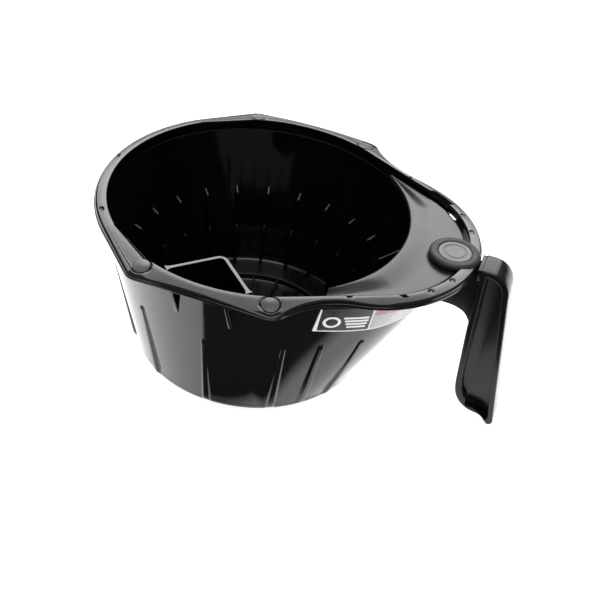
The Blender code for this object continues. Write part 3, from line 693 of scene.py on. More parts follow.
def bowl_skin(base_drop):
    """The bowl as one closed skin: rows run down the outside, under the base, up through the
    drain, over the stepped floor, and up the finned inside. Each row is a distance from the axis
    for every direction, at one drop."""
    turns = funnel_columns()[None, :]
    wall_end, floor = base_drop - BASE_FILLET, base_drop - FLOOR
    ring = floor - SUMP_STEP
    drops = np.concatenate([
        [WALL_TOP, WALL_TOP + 0.3 * MM], np.linspace(0.010, PAD_TOP - 0.6 * MM, 8),
        PAD_TOP + MM * np.array([-0.2, 0.1, 0.4, 0.8]), np.linspace(PAD_TOP + 3 * MM, wall_end - 2 * MM, 12),
    ])[:, None]
    outside = wall_reach(turns, drops, base_drop)
    outside = outside + pad_swell(turns, outside, drops, base_drop)
    outside[0] -= 0.3 * MM
    rows = [(outside, np.broadcast_to(drops, outside.shape))]
    bend = np.radians(np.linspace(0, 90, 7))[:, None]
    r = BASE_R - BASE_FILLET + BASE_FILLET * np.cos(bend) + 0 * turns
    drop = wall_end + BASE_FILLET * np.sin(bend) + 0 * turns
    rows.append((r + pad_swell(turns, r, drop, base_drop), drop))
    under = np.array([
        (0.062, base_drop), (0.050, base_drop), (0.036, base_drop), (0.020, base_drop),
        (DRAIN_R + 0.6 * MM, base_drop), (DRAIN_R, base_drop - 0.6 * MM), (DRAIN_R, floor + 0.8 * MM),
        (DRAIN_R + 0.3 * MM, floor + 0.2 * MM), (DRAIN_R + 1 * MM, floor), (0.012, floor), (0.022, floor),
        (0.034, floor), (0.045, floor), (SUMP_R - 1.2 * MM, floor), (SUMP_R - 0.4 * MM, floor - 0.3 * MM),
        (SUMP_R, floor - 1.2 * MM), (SUMP_R, ring + 0.8 * MM), (SUMP_R + 0.2 * MM, ring + 0.2 * MM),
        (SUMP_R + 0.8 * MM, ring), (0.0555, ring), (0.059, ring), (0.0622, ring),
    ])
    rows.append((under[:, :1] + 0 * turns, under[:, 1:] + 0 * turns))
    bend = np.radians(np.linspace(90, 0, 6))[:, None]
    fillet = 2.5 * MM
    r = wall_reach(turns, ring - fillet, base_drop, WALL) - fillet + fillet * np.cos(bend)
    drop = ring - fillet + fillet * np.sin(bend) + 0 * turns
    rows.append((fin_inset(turns, r, drop), drop))
    drops = np.concatenate([
        np.linspace(ring - 5 * MM, FIN_DROPS[2] + 1.6 * MM, 8),
        FIN_DROPS[2] + MM * np.array([0.7, 0.25, -0.25, -0.7, -1.6]),
        np.linspace(FIN_DROPS[2] - 5 * MM, FIN_DROPS[1] + 1.6 * MM, 6),
        FIN_DROPS[1] + MM * np.array([0.5, 0.15, -0.15, -0.5]),
        np.linspace(FIN_DROPS[1] - 1.0 * MM, FIN_DROPS[0] + 0.1 * MM, 12),
        np.linspace(FIN_DROPS[0] - 2 * MM, 0.010, 7), [WALL_TOP + 0.8 * MM, WALL_TOP + 0.3 * MM, WALL_TOP],
    ])[:, None]
    inside = fin_inset(turns, wall_reach(turns, drops, base_drop, WALL), drops)
    inside[-1] += 0.15 * MM
    rows.append((inside, np.broadcast_to(drops, inside.shape)))
    r = np.concatenate([row[0] for row in rows])
    drop = np.concatenate([row[1] for row in rows])
    return shell(np.stack([r * np.cos(turns), r * np.sin(turns), drop], 2), wrap_rows=True)


def bar(start, end, half, foot, top, edge=0.35 * MM):
    """A low rib between two places: an arch-topped section carried from one to the other."""
    start, end = np.array(start, float), np.array(end, float)
    along = (end - start) / np.linalg.norm(end - start)
    side = np.array([-along[1], along[0]])
    section = rounded([(-half, foot), (-half, top), (half, top), (half, foot)], [0, edge, edge, 0], 4)
    places = start + (end - start) * np.array([0, 0.02, 0.5, 0.98, 1])[:, None]
    lower = np.array([0.5, 0, 0, 0, 0])[:, None] * MM
    xy = places[:, None] + side * section[None, :, :1]
    drop = section[None, :, 1] + lower * (section[None, :, 1] < foot)
    grid = np.concatenate([xy, drop[..., None]], 2)
    return shell(grid, caps=("first_row", "last_row"))


def upright_slab(outline, low, high, edge=0.3 * MM, plane="xz", steps=3):
    """A flat plate: its outline carried from one side to the other, with rounded edges.

    Each ring is the outline moved in along its normals as the side is neared, on a quarter circle.
    """
    outline = np.array(outline, float)
    if np.sum(outline[:, 0] * np.roll(outline[:, 1], -1) - np.roll(outline[:, 0], -1) * outline[:, 1]) < 0:
        outline = outline[::-1]
    out = normals_of(outline)
    bend = np.linspace(0, np.pi / 2, steps + 1)
    inset = edge * np.concatenate([1 - np.sin(bend), 1 - np.sin(bend[::-1])])
    across = np.concatenate([low + edge * (1 - np.cos(bend)), high - edge * (1 - np.cos(bend[::-1]))])
    rings = outline[None] - out[None] * inset[:, None, None]
    across = np.broadcast_to(across[:, None], rings.shape[:2])
    order = {"xz": (rings[..., 0], across, rings[..., 1]), "yz": (across, rings[..., 0], rings[..., 1])}
    return shell(np.stack(order[plane], 2), caps=("first_row", "last_row"))


def build_bowl(context):
    """The bowl with its fins and pads, the ribs on the sump floor, and four rail gussets."""
    base_drop = RIM_TOP - BASE_FOOT
    floor = base_drop - FLOOR
    skins = [bowl_skin(base_drop)]
    ribs = context.scene.funnel_sizes.floor_ribs
    for turn in np.radians(np.arange(ribs) * 360 / ribs):
        way = np.array([math.cos(turn), math.sin(turn)])
        skins.append(bar(way * RIB_START, way * (SUMP_R + 0.5 * MM), 0.8 * MM, floor + 0.5 * MM, floor - SUMP_STEP))
    outer = context.scene.funnel_sizes.rail_reach - 1.6 * MM
    gusset = [
        (WALL_TOP_R - WALL, RIM_DEPTH + 0.2 * MM), (outer, RIM_DEPTH + 0.2 * MM), (outer - 0.3 * MM, 0.0085),
        (WALL_TOP_R - 2 * WALL, GUSSET_FOOT), (WALL_TOP_R - 3 * WALL + 1 * MM, GUSSET_FOOT),
    ]
    for x in (-GUSSET_X, GUSSET_X):
        for side in (-1, 1):
            outline = np.array(gusset) * [side, 1]
            skins.append(upright_slab(outline, x - GUSSET_HALF, x + GUSSET_HALF, plane="yz"))
    put_piece("brew_bowl", skins, [black_gloss(context)], ["funnel_shell"], sharp=48)


def rim_rows(sizes, outline, out):
    """The rim's section as rows: up the inside edge, over the land, down the bevel and the
    skirt, and back under. Places near the hole are measured from it, the rest from the outline."""
    turns = np.arctan2(outline[:, 1], outline[:, 0])
    hole = hole_reach(turns)[:, None] * np.stack([np.cos(turns), np.sin(turns)], 1)
    land = outline - out * RIM_BEVEL
    across = np.linspace(0, 1, 40)
    width = np.linalg.norm(land - hole, axis=1)
    notch = within(NOTCH_SPANS, nose_turn_of(hole[:, 0], hole[:, 1]), 0.5)
    rows = []
    inner = ((0.0, RIM_DEPTH), (0.0, 3.3 * MM), (0.0, 0.45 * MM), (0.1 * MM, 0.15 * MM), (0.4 * MM, 0.0))
    toward = (land - hole) / np.maximum(width, 1e-6)[:, None]
    for away, drop in inner:
        sunk = np.maximum(drop, notch * NOTCH_DEPTH) if drop < NOTCH_DEPTH else np.full(len(turns), drop)
        rows.append(np.column_stack([hole + toward * away, sunk]))
    for share in across[1:]:
        place = hole + (land - hole) * share
        sunk = notch * NOTCH_DEPTH * (1 - ease(0.42, 0.52, share))
        rows.append(np.column_stack([place, np.maximum(sunk, land_drop(place[:, 0], place[:, 1]))]))
    fallen = rows[-1][:, 2]
    bevel = rounded(
        MM * np.array([(1.8, 0), (0.75, 0.9), (0.6, 2.6), (0.1, 2.9), (0.0, 4.7), (0.5, 5.0), (4.0, 5.0)]),
        MM * np.array([0, 0.7, 0.25, 0.3, 0.3, 0.3, 0]), 4, closed=False,
    )
    for inset, drop in bevel[4:]:
        rows.append(np.column_stack([outline - out * inset, drop + fallen * (1 - drop / RIM_DEPTH)]))
    return np.array(rows)


def build_rim(context):
    """The rim and, below it, the ledge that the deck's edge hangs over. The land has small sink
    marks and a moat round each plug. Each is a smooth dip that depends only on the distance from
    its middle. The ledge is a band between two teardrops, cut back where the window opens."""
    sizes = context.scene.funnel_sizes
    outline = rim_outline(sizes)
    out = normals_of(outline)
    grid = rim_rows(sizes, outline, out)
    flat = np.abs(grid[..., 2] - land_drop(grid[..., 0], grid[..., 1])) < 1e-6
    dip = np.zeros(grid.shape[:2])
    for x, y in SINKS:
        away = np.hypot(grid[..., 0] - x * MM, grid[..., 1] - y * MM)
        dip = np.maximum(dip, 0.6 * MM * (1 - ease(0.55, 1.0, away / SINK_R)))
    corner_y = sizes.rail_reach - RAIL_CORNER_R
    for x in (-RAIL_CORNER_X, RAIL_CORNER_X):
        for y in (-corner_y, corner_y):
            away = np.hypot(grid[..., 0] - x, grid[..., 1] - y)
            dip = np.maximum(dip, 0.9 * MM * np.exp(-(((away - 5.12 * MM) / (0.3 * MM)) ** 2)))
            dip = np.where(away < 4.7 * MM, 0.5 * MM, dip)
    grid[..., 2] += dip * flat
    skins = [shell(grid, wrap_rows=True)]
    turns = np.linspace(0, 2 * np.pi, 480, endpoint=False)
    nose_in = WALL_NOSE_R - WALL
    inner = teardrop_reach(turns, MOUTH_R, nose_in, NOSE_X, math.acos((MOUTH_R - nose_in) / NOSE_X))
    outer = teardrop_reach(turns, WALL_TOP_R, NOSE_MOUTH_R + WALL / 2, NOSE_X, HOLE_TOUCH)
    slotted = teardrop_reach(turns, WALL_TOP_R, NOSE_MOUTH_R - SLOT, NOSE_X, HOLE_TOUCH)
    in_slot = within(WINDOW_SPANS, nose_turn_of(outer * np.cos(turns), outer * np.sin(turns)), 0.4)
    outer = outer + (slotted - outer) * in_slot
    section = ((inner, LEDGE_FOOT), (inner, RIM_DEPTH + 0.1 * MM), (outer, RIM_DEPTH + 0.1 * MM), (outer, LEDGE_FOOT))
    ring = np.array([np.column_stack([r * np.cos(turns), r * np.sin(turns), 0 * r + drop]) for r, drop in section])
    skins.append(shell(ring, wrap_rows=True))

    # Upward faces along the rim's top take the textured land finish: the texture is real, and its paler grey tint is
    # partly painted sheen.
    def textured_top_with_painted_sheen(centres, normals):
        return (centres[:, 2] > RIM_TOP - 2.2 * MM) & (normals[:, 2] > 0.93)

    finishes = [black_gloss(context), textured_land(context)]
    put_piece("rim", skins, finishes, ["rim_frame"], textured_top_with_painted_sheen, sharp=45)


def build_plugs(context):
    """Four round plugs, each a disc with a rounded edge, turned about its own axis."""
    corner_y = context.scene.funnel_sizes.rail_reach - RAIL_CORNER_R
    plug_r = reach("rail_plug_1", 0)
    profile = MM * np.array([(0.01, 1.2), (4.6, 1.2), (4.8, 1.0)]) * [plug_r / (4.8 * MM), 1]
    top = rounded([(plug_r, 1.0 * MM), (plug_r, 0.0), (0.02 * MM, 0.0)], [0, 0.35 * MM, 0], 5, closed=False)
    profile = np.concatenate([profile, top[5:]])
    number = 0
    for x in (-RAIL_CORNER_X, RAIL_CORNER_X):
        for y in (-corner_y, corner_y):
            number += 1
            grid = revolve(profile, x, y, 64)
            grid[..., 2] += land_drop(grid[..., 0], grid[..., 1])
            skin = shell(grid, caps=("first_row", "last_row"))
            # The plugs take the land finish, whose grey tint is partly painted sheen.
            put_piece(f"plug_{number}", [skin], [textured_land(context)], [f"rail_plug_{number}"])


def build_deck(context):
    """The splash deck: for each direction, a closed section runs from the bowl's mouth over a
    rounded bead, down to the flat face, and out to the nose, then back underneath."""
    share = np.linspace(-1, 1, 181)
    inner_end = math.acos(DECK_HORN_X / DECK_MOUTH_R)
    search = np.linspace(inner_end, inner_end + 0.2, 400)
    outer_end = search[np.argmin(np.abs(hole_reach(search, SLOT) * np.cos(search) - DECK_HORN_X))]
    inner_turn, outer_turn = share * inner_end, share * outer_end
    inner = DECK_MOUTH_R * np.stack([np.cos(inner_turn), np.sin(inner_turn)], 1)
    far = hole_reach(outer_turn, SLOT)
    outer = far[:, None] * np.stack([np.cos(outer_turn), np.sin(outer_turn)], 1)
    width = np.linalg.norm(outer - inner, axis=1)[:, None]
    bead = np.minimum(1.0, 0.72 * width / (16 * MM))
    rise = MM * np.array([
        (0.25, 4.7), (0.0, 4.4), (0.0, 1.9), (0.2, 1.25), (0.8, 0.8), (1.8, 0.62), (3.2, 0.72), (5.0, 1.02),
        (7.5, 1.6), (10.0, 2.25), (12.5, 2.8), (14.5, 3.1), (16.0, 3.2),
    ])
    edge = MM * np.array([(1.4, 3.2), (0.55, 3.24), (0.15, 3.45), (0.0, 3.8), (0.0, 4.4), (0.25, 4.7)])
    across = np.concatenate([rise[None, :, 0] * bead, width - edge[None, :, 0] * np.minimum(1, width / (9 * MM))], 1)
    middle_rows = across[:, 12:13] + (across[:, 13:14] - across[:, 12:13]) * np.linspace(0, 1, 8)[None, 1:-1]
    across = np.concatenate([across[:, :13], middle_rows, across[:, 13:]], 1)
    drop = np.concatenate([rise[:, 1], np.full(6, DECK_DROP), edge[:, 1]])
    way = (outer - inner) / width
    grid = np.concatenate([
        inner[:, None] + way[:, None] * across[..., None],
        np.broadcast_to(drop[None, :, None], (*across.shape, 1)),
    ], 2)
    satin = finish_named("polypropylene, moulded satin", satin_polypropylene, tuple(context.scene.funnel_finish.deck))
    skin = shell(grid, wrap_columns=True, caps=("first_row", "last_row"))
    put_piece("splash_plate", [skin], [satin], ["splash_deck"], sharp=50)


def build_fence(context):
    """The fence: a straight arm, a round apex and a straight arm, as a path whose arms are as long as the wall allows
    at each drop. The section is a thin wall with a rounded top. Its upward faces take the land finish, whose paler
    grey tint paints part of the highlight along the top."""
    drops = np.concatenate([MM * np.array([0, 0.03, 0.15, 0.5, 1.5]), np.linspace(4 * MM, FENCE_DEPTH, 12)])
    thin = (FENCE_WALL / 2) * np.concatenate([[1.05, 1.25, 1.3, 1.3, 1.2], np.linspace(1.1, 1, 12)])
    flare = 1.3 * MM * np.concatenate([[1, 1, 1, 1, 1], np.linspace(0.9, 0, 12)])
    wall = wall_reach(np.array([np.pi]), drops, RIM_TOP - BASE_FOOT, WALL)
    limit = np.where(drops < WALL_TOP, MOUTH_R - WALL / 4, wall) - STAND_OFF
    centre = -FENCE_APEX - FENCE_ROUND
    mid_r = FENCE_ROUND - FENCE_WALL / 2
    slope = math.sqrt(0.5)
    start = np.array([mid_r * slope, centre + mid_r * slope])
    # The arm's length t solves |start + t * way| = limit.
    along = start[0] * slope - start[1] * slope
    arm = -along + np.sqrt(along**2 - (start @ start - limit**2))
    steps = np.concatenate([np.linspace(1, 0.8, 8), np.linspace(0.75, 0, 12, endpoint=False)])
    bend = np.radians(np.linspace(45, 135, 15))
    sides = []
    for way in (1, -1):
        rows = []
        for length, half, swell in zip(arm, thin, flare):
            shift = way * half
            wider = way * swell * np.exp(-(1 - steps) * length / (1.5 * MM))
            right = start + (shift + wider)[:, None] * [slope, slope] + (steps * length)[:, None] * [slope, -slope]
            round_end = np.stack([(mid_r + shift) * np.cos(bend), centre + (mid_r + shift) * np.sin(bend)], 1)
            rows.append(np.concatenate([right, round_end, right[::-1] * [-1, 1]]))
        sides.append(np.array(rows))
    outer, inner = sides
    levels = np.broadcast_to(drops[:, None, None], (*outer.shape[:2], 1))
    outer, inner = np.concatenate([outer, levels], 2), np.concatenate([inner, levels], 2)
    grid = np.concatenate([outer[::-1], inner])
    skin = shell(grid, wrap_rows=True, wrap_columns=False, caps=("first_column", "last_column"))

    # Faces turned upwards take the land finish: its paler grey tint paints part of the highlight along the fence's
    # top.
    def top(centres, normals):
        return normals[:, 2] > 0.6

    finishes = [black_gloss(context), textured_land(context)]
    put_piece("filter_fence", [skin], finishes, ["bypass_fence"], top, sharp=50)


def grip_outline(inset=0.0):
    """The grip from the side, in X and drop: crown, leaning outer face, hooked toe, inner face."""
    top, toe = GRIP_DROP + inset, RIM_TOP - inset
    inner, outer = GRIP_IN + inset, GRIP_OUT - inset
    lean = GRIP_LEAN / RIM_TOP
    across, down = CROWN_ACROSS - inset, CROWN_DOWN - inset
    turns = np.radians(np.linspace(90, 0, 12))
    middle_x, middle_drop = outer + lean * down - across, top + down
    crown = np.stack([middle_x + across * np.cos(turns), middle_drop - down * np.sin(turns)], 1)
    heel = np.array([
        (outer + lean * 0.045, 0.045), (outer + lean * 0.085, 0.085), (outer + GRIP_LEAN, toe - 0.0020),
        (outer + GRIP_LEAN - 0.0025, toe), (outer + GRIP_LEAN - 0.0045, toe - 0.0030),
        (outer + GRIP_LEAN - 0.0090, toe - 0.0062), (outer + GRIP_LEAN - 0.0160, toe - 0.0072),
        (inner + 0.0070, toe - 0.0105), (inner + 0.0030, toe - 0.0165), (inner + 0.0015, toe - 0.0240),
        (inner, 0.045),
    ])
    corners = np.concatenate([[(inner, top)], crown, heel])
    radius = MM * np.array([1.0] + [0.6] * 12 + [4, 4, 1.2, 1.0, 1.2, 1.6, 3, 3, 3, 4, 6])
    return rounded(corners, radius, 4)


def grip_skin(half):
    """Rings from one recessed side to the other: the floor of the recess, its wall, the rounded
    lip, the outer edge, and the same again mirrored."""
    rings = MM * np.array([
        (4.3, 3.0), (3.9, 3.15), (3.7, 3.6), (3.6, 8.2), (3.45, 8.65), (3.05, 8.95), (2.5, 9.0), (1.2, 9.0),
        (0.55, 8.85), (0.15, 8.45), (0.0, 7.8), (0.0, 2.6),
    ]) * [1, half / (9 * MM)]
    rings = np.concatenate([rings, rings[::-1] * [1, -1]])
    grid = []
    for inset, y in rings:
        outline = grip_outline(inset)
        grid.append(np.column_stack([outline[:, 0], np.full(len(outline), y), outline[:, 1]]))
    return shell(np.array(grid), caps=("first_row", "last_row"))


def build_handle(context):
    """The handle: the grip, the arm that carries it under the nose with a curved web, and the
    neck that joins its crown to the rim. The last two are flat plates with rounded edges."""
    half = reach("handle", 1)
    wall_top = NOSE_X + WALL_NOSE_R + STAND_OFF
    base_drop = RIM_TOP - BASE_FOOT
    slope = (wall_top - BASE_R) / (base_drop - BASE_FILLET - WALL_TOP)
    step = NOSE_TIP + STAND_OFF
    under, ledge = RIM_DEPTH + STAND_OFF, LEDGE_FOOT + STAND_OFF
    inner_step = NOSE_X + NOSE_MOUTH_R + WALL / 2 + STAND_OFF
    arm = [
        (wall_top, ledge), (wall_top - slope * (ARM_DROP - WALL_TOP), ARM_DROP),
        (GRIP_IN - 0.0105, ARM_DROP + 0.0005), (GRIP_IN - 0.0040, ARM_DROP + 0.0030),
        (GRIP_IN - 0.0008, ARM_DROP + 0.0075), (GRIP_IN + 0.0018, ARM_DROP + 0.0150),
        (GRIP_IN + 0.0030, 0.0022), (step, 0.0012), (step, under), (inner_step, under), (inner_step, ledge),
    ]
    radius = MM * np.array([0.4, 1.0, 5, 5, 5, 3, 0.6, 0.5, 0.3, 0.3, 0.3])
    neck = [(step, 0.0012), (GRIP_IN + 0.0030, 0.0012), (GRIP_IN + 0.0030, NECK_DROP), (step, NECK_DROP)]
    skins = [grip_skin(half), upright_slab(rounded(arm, radius, 5), -ARM_HALF, ARM_HALF, 0.8 * MM)]
    skins.append(upright_slab(rounded(neck, 0.5 * MM, 4), -NECK_HALF, NECK_HALF, 0.8 * MM))
    body = tuple(context.scene.funnel_finish.body)
    grip = finish_named("polypropylene, moulded semi-gloss", grip_polypropylene, body)
    put_piece("side_handle", skins, [grip], ["handle"], sharp=45)


def build_badge(context):
    """The cup and its disc, both turned about the badge's axis. The disc has a plain ring."""
    x, r = middle("badge_cup", 0) - BOWL_X, reach("badge_cup", 0)
    top = RIM_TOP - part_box("badge_cup")[1].z
    foot = DECK_DROP - STAND_OFF
    inset_r = reach("badge_disc", 0)
    corners = [
        (11.8 * MM, foot), (r - 0.4 * MM, foot), (r, foot - 1.0 * MM),
        (r, top + 1.6 * MM), (r - 1.3 * MM, top + 0.3 * MM),
        (r - 3.0 * MM, top), (inset_r + 0.9 * MM, top + 0.15 * MM), (inset_r + 0.2 * MM, top + 0.55 * MM),
        (inset_r + 0.2 * MM, top + 1.1 * MM), (0.05 * MM, top + 1.1 * MM),
        (0.05 * MM, top + 2.0 * MM), (11.8 * MM, top + 2.0 * MM),
    ]
    radius = MM * np.array([0, 0.3, 0.5, 1.2, 1.2, 1.0, 0.5, 0.2, 0, 0, 0, 0.2])
    cup = shell(revolve(rounded(corners, radius, 5), x, 0, 96), wrap_rows=True)
    rubber = finish_named("EPDM rubber, moulded", moulded_rubber, tuple(context.scene.funnel_finish.rubber))
    put_piece("badge_ring", [cup], [rubber], ["badge_cup"], sharp=50)
    face = top + 0.45 * MM
    corners = [
        (0.05 * MM, face), (5.6 * MM, face), (5.9 * MM, face + 0.35 * MM),
        (6.7 * MM, face + 0.35 * MM), (7.0 * MM, face),
        (inset_r, face), (inset_r, top + 0.9 * MM), (0.05 * MM, top + 0.9 * MM),
    ]
    radius = MM * np.array([0, 0.15, 0.12, 0.12, 0.15, 0.25, 0, 0])
    disc = shell(revolve(rounded(corners, radius, 4), x, 0, 96), caps=("first_row", "last_row"))
    grey = finish_named("ABS, grey lacquered", printed_disc, tuple(context.scene.funnel_finish.disc))
    put_piece("badge_face", [disc], [grey], ["badge_disc"], sharp=40)


def build_outlet(context):
    """The foot ring and the drain nozzle, one closed profile turned about the bowl's axis."""
    base = RIM_TOP - BASE_FOOT + STAND_OFF
    foot_r = reach("outlet_ring", 0)
    foot = RIM_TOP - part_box("outlet_ring")[0].z
    corners = [
        (foot_r, base), (foot_r, foot), (foot_r - 2.8 * MM, foot), (foot_r - 2.8 * MM, base + 2.2 * MM),
        (DRAIN_R + 1.6 * MM, base + 2.2 * MM), (DRAIN_R + 1.6 * MM, foot - 1.5 * MM),
        (DRAIN_R, foot - 1.5 * MM), (DRAIN_R, base),
    ]
    radius = MM * np.array([0.2, 0.7, 0.7, 1.0, 1.0, 0.5, 0.4, 0.2])
    skin = shell(revolve(rounded(corners, radius, 5), count=128), wrap_rows=True)
    put_piece("drain_outlet", [skin], [black_gloss(context)], ["outlet_ring"], sharp=50)


def film_places(along, drop, stand):
    """Places on the outside of the wall, along the front flank and then round the nose.

    The flank is the straight line between the two circles at each drop. Past its end the place
    turns about the nose's centre.
    """
    base_drop = RIM_TOP - BASE_FOOT
    share = (drop - WALL_TOP) / (base_drop - BASE_FILLET - WALL_TOP)
    bowl_r = WALL_TOP_R + (BASE_R - WALL_TOP_R) * share + stand
    nose_r = WALL_NOSE_R + (BASE_R - WALL_NOSE_R) * share + stand
    nose_x = NOSE_X * (1 - share)
    flank = np.sqrt(np.maximum(nose_x**2 - (bowl_r - nose_r) ** 2, 1e-9))
    out = np.array([math.cos(WALL_TOUCH), -math.sin(WALL_TOUCH)])
    way = np.array([math.sin(WALL_TOUCH), math.cos(WALL_TOUCH)])
    straight = np.minimum(along, flank)
    first = out * bowl_r[..., None] + way * straight[..., None]
    more = np.maximum(along - flank, 0) / nose_r
    turn = WALL_TOUCH - more
    bent = np.stack([nose_x + nose_r * np.cos(turn), -nose_r * np.sin(turn)], -1)
    xy = np.where((along > flank)[..., None], bent, first)
    return np.concatenate([xy, drop[..., None]], -1)


def build_label(context):
    """The printed film: a grid along the wall and down it, with a back the film's thickness in."""
    flank_top = NOSE_X * math.sin(WALL_TOUCH)
    length = flank_top + math.radians(LABEL_TURN) * WALL_NOSE_R * 1.06
    t = np.linspace(0, 1, 90)
    along = LABEL_START + (length - LABEL_START) * t
    sag = LABEL_FOOT + LABEL_SAG * np.sin(np.pi * t)
    v = np.linspace(0, 1, 14)[:, None]
    drop = LABEL_TOP + (sag[None] - LABEL_TOP) * v
    slant = 1.6 * MM * v
    where = along[None] - slant * (1 - t)[None] + 0 * drop
    front = film_places(where, drop, STAND_OFF + FILM)
    back = film_places(where, drop, STAND_OFF * 0.3)
    grid = np.concatenate([front, back[::-1]])
    skin = shell(grid, wrap_rows=True, wrap_columns=False, caps=("first_column", "last_column"))
    film = finish_named("polyester film, screen printed", printed_film)
    piece = put_piece("wall_label", [skin], [film], ["info_label"], sharp=60)
    u = (where - LABEL_START) / MM
    height = (sag[None] - drop) / MM
    flat = np.stack([np.concatenate([u, u[::-1]]), np.concatenate([height, height[::-1]])], -1).reshape(-1, 2)
    layer = piece.data.uv_layers.new(name="film")
    if len(piece.data.vertices) != len(flat):
        raise RuntimeError("the film lost a place when it was welded, so its print would slide")
    corner = np.empty(len(piece.data.loops), np.int32)
    piece.data.loops.foreach_get("vertex_index", corner)
    layer.data.foreach_set("uv", flat[corner].astype(np.float32).ravel())


def finish_screws(context):
    """The two arm screws keep their CAD shape and get plated steel."""
    steel = finish_named("steel, zinc plated", plated_steel)
    for name in ("handle_screw_1", "handle_screw_2"):
        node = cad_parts[name]
        node.data.materials.clear()
        node.data.materials.append(steel)


# Studio


def flat_card(name, centre, across, up, finish):
    """A flat four-cornered card: its middle plus and minus half of each side."""
    centre, across, up = (np.array(part, float) for part in (centre, across, up))
    corners = [centre - across - up, centre + across - up, centre + across + up, centre - across + up]
    mesh = bpy.data.meshes.new(name)
    mesh.from_pydata([tuple(corner) for corner in corners], [], [(0, 1, 2, 3)])
    mesh.materials.append(finish)
    card = bpy.data.objects.new(name, mesh)
    bpy.context.scene.collection.objects.link(card)
    return card


def facing(a, e):
    """The direction at an azimuth from the front and an elevation, both in radians."""
    return np.array([math.sin(a) * math.cos(e), -math.cos(a) * math.cos(e), math.sin(e)])


def pose_matrix(side, up, back, place):
    """The matrix of something whose own axes are these three and which stands at a place."""
    rows = np.column_stack([side, up, back, place])
    return Matrix([*rows.tolist(), [0, 0, 0, 1]])


def softbox(name, azimuth, elevation, distance, width, height, strength, aim=(0.0, 0.0, 0.06)):
    """A rectangular soft light on a sphere round the object, turned to face it."""
    place = np.array(aim) + distance * facing(math.radians(azimuth), math.radians(elevation))
    data = bpy.data.lights.new(name, "AREA")
    data.shape, data.size, data.size_y, data.energy = "RECTANGLE", width, height, strength
    light = bpy.data.objects.new(name, data)
    bpy.context.scene.collection.objects.link(light)
    back = (place - np.array(aim)) / distance
    side = np.cross([0, 0, 1], back)
    side /= np.linalg.norm(side)
    up = np.cross(back, side)
    light.matrix_world = pose_matrix(side, up, back, place)


def build_camera(stage):
    """The camera stands at an azimuth and elevation from the rim's middle, is rolled, then moved
    sideways and up in its own plane."""
    a, e, roll = stage.azimuth, stage.elevation, stage.roll
    back = facing(a, e)
    level_right = np.array([math.cos(a), math.sin(a), 0])
    level_up = np.cross(back, level_right)
    right = math.cos(roll) * level_right + math.sin(roll) * level_up
    up = -math.sin(roll) * level_right + math.cos(roll) * level_up
    place = np.array([BOWL_X, 0, RIM_TOP]) + stage.pan[0] * right + stage.pan[1] * up + stage.distance * back
    data = bpy.data.cameras.new("camera")
    data.lens, data.sensor_width = stage.lens, SENSOR
    camera = bpy.data.objects.new("camera", data)
    bpy.context.scene.collection.objects.link(camera)
    camera.matrix_world = pose_matrix(right, up, back, place)
    bpy.context.scene.camera = camera


def build_world():
    """Pale at the horizon, dark in the low band above it, dim higher up, and dark below the floor,
    where only the gloss looks."""
    world = bpy.data.worlds.new("studio")
    bpy.context.scene.world = world
    world.use_nodes = True
    tree = world.node_tree
    tree.nodes.clear()
    up = add(tree, "SeparateXYZ", {"Vector": add(tree, "TexCoord").outputs["Generated"]}).outputs["Z"]
    high = span(tree, up, 0.28, 0.40, 0.0, 1.0)
    shade = mix(tree, high, (0.06, 0.06, 0.06, 1), (0.36, 0.36, 0.37, 1))
    over_floor, under_band = span(tree, up, -0.024, -0.018, 0.0, 1.0), span(tree, up, 0.04, 0.08, 1.0, 0.0)
    horizon = maths(tree, "MULTIPLY", over_floor, under_band)
    shade = mix(tree, horizon, shade, (0.95, 0.95, 0.95, 1))
    ground = add(tree, "Background", {"Color": shade, "Strength": 1.0})
    tree.links.new(ground.outputs["Background"], add(tree, "OutputWorld").inputs["Surface"])


def build_stage(context):
    """Camera, world, floor, soft lights, the card under the floor that paints the lit table's reflection, and the
    view transform.

    The floor is hidden from the gloss, which sees the painted table a millimetre below it, with a painted shadow of
    the object in front.
    """
    stage = context.scene.funnel_stage
    build_camera(stage)
    build_world()
    floor = flat_card("floor", (0, 0, 0), (60, 0, 0), (0, 60, 0), studio_card())
    floor.visible_glossy = False
    softbox("back_softbox", 180 + math.degrees(stage.azimuth), 40, 1.6, 1.9, 1.1, stage.back_light)
    softbox("top_softbox", 20, 80, 1.7, 1.2, 1.2, stage.top_light)
    # A glowing card seen only by the gloss: a painted reflection of a lit table, with the object's painted shadow in
    # it.
    table = flat_card("painted_table_reflection", (0, 0, -1 * MM), (4, 0, 0), (0, 4, 0), painted_table_reflection())
    table.visible_camera = table.visible_diffuse = table.visible_shadow = False
    context.scene.view_settings.view_transform = "Standard"


# Add-on


class FunnelSizes(bpy.types.PropertyGroup):
    """Sizes that can be set by themselves"""

    rim_radius: FloatProperty(
        name="Rim radius", description="Outer edge of the rim round the bowl",
        default=BOWL_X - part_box("rim_frame")[0].x, subtype="DISTANCE", unit="LENGTH",
    )
    rail_reach: FloatProperty(
        name="Rail reach", description="From the middle to the outer face of each slide rail",
        default=reach("rim_frame", 1), subtype="DISTANCE", unit="LENGTH",
    )
    nose_reach: FloatProperty(
        name="Nose reach", description="From the bowl's axis to the tip of the nose",
        default=NOSE_TIP, subtype="DISTANCE", unit="LENGTH",
    )
    floor_ribs: IntProperty(
        name="Floor ribs", description="Ribs on the sump floor", default=20, min=4, max=40,
    )


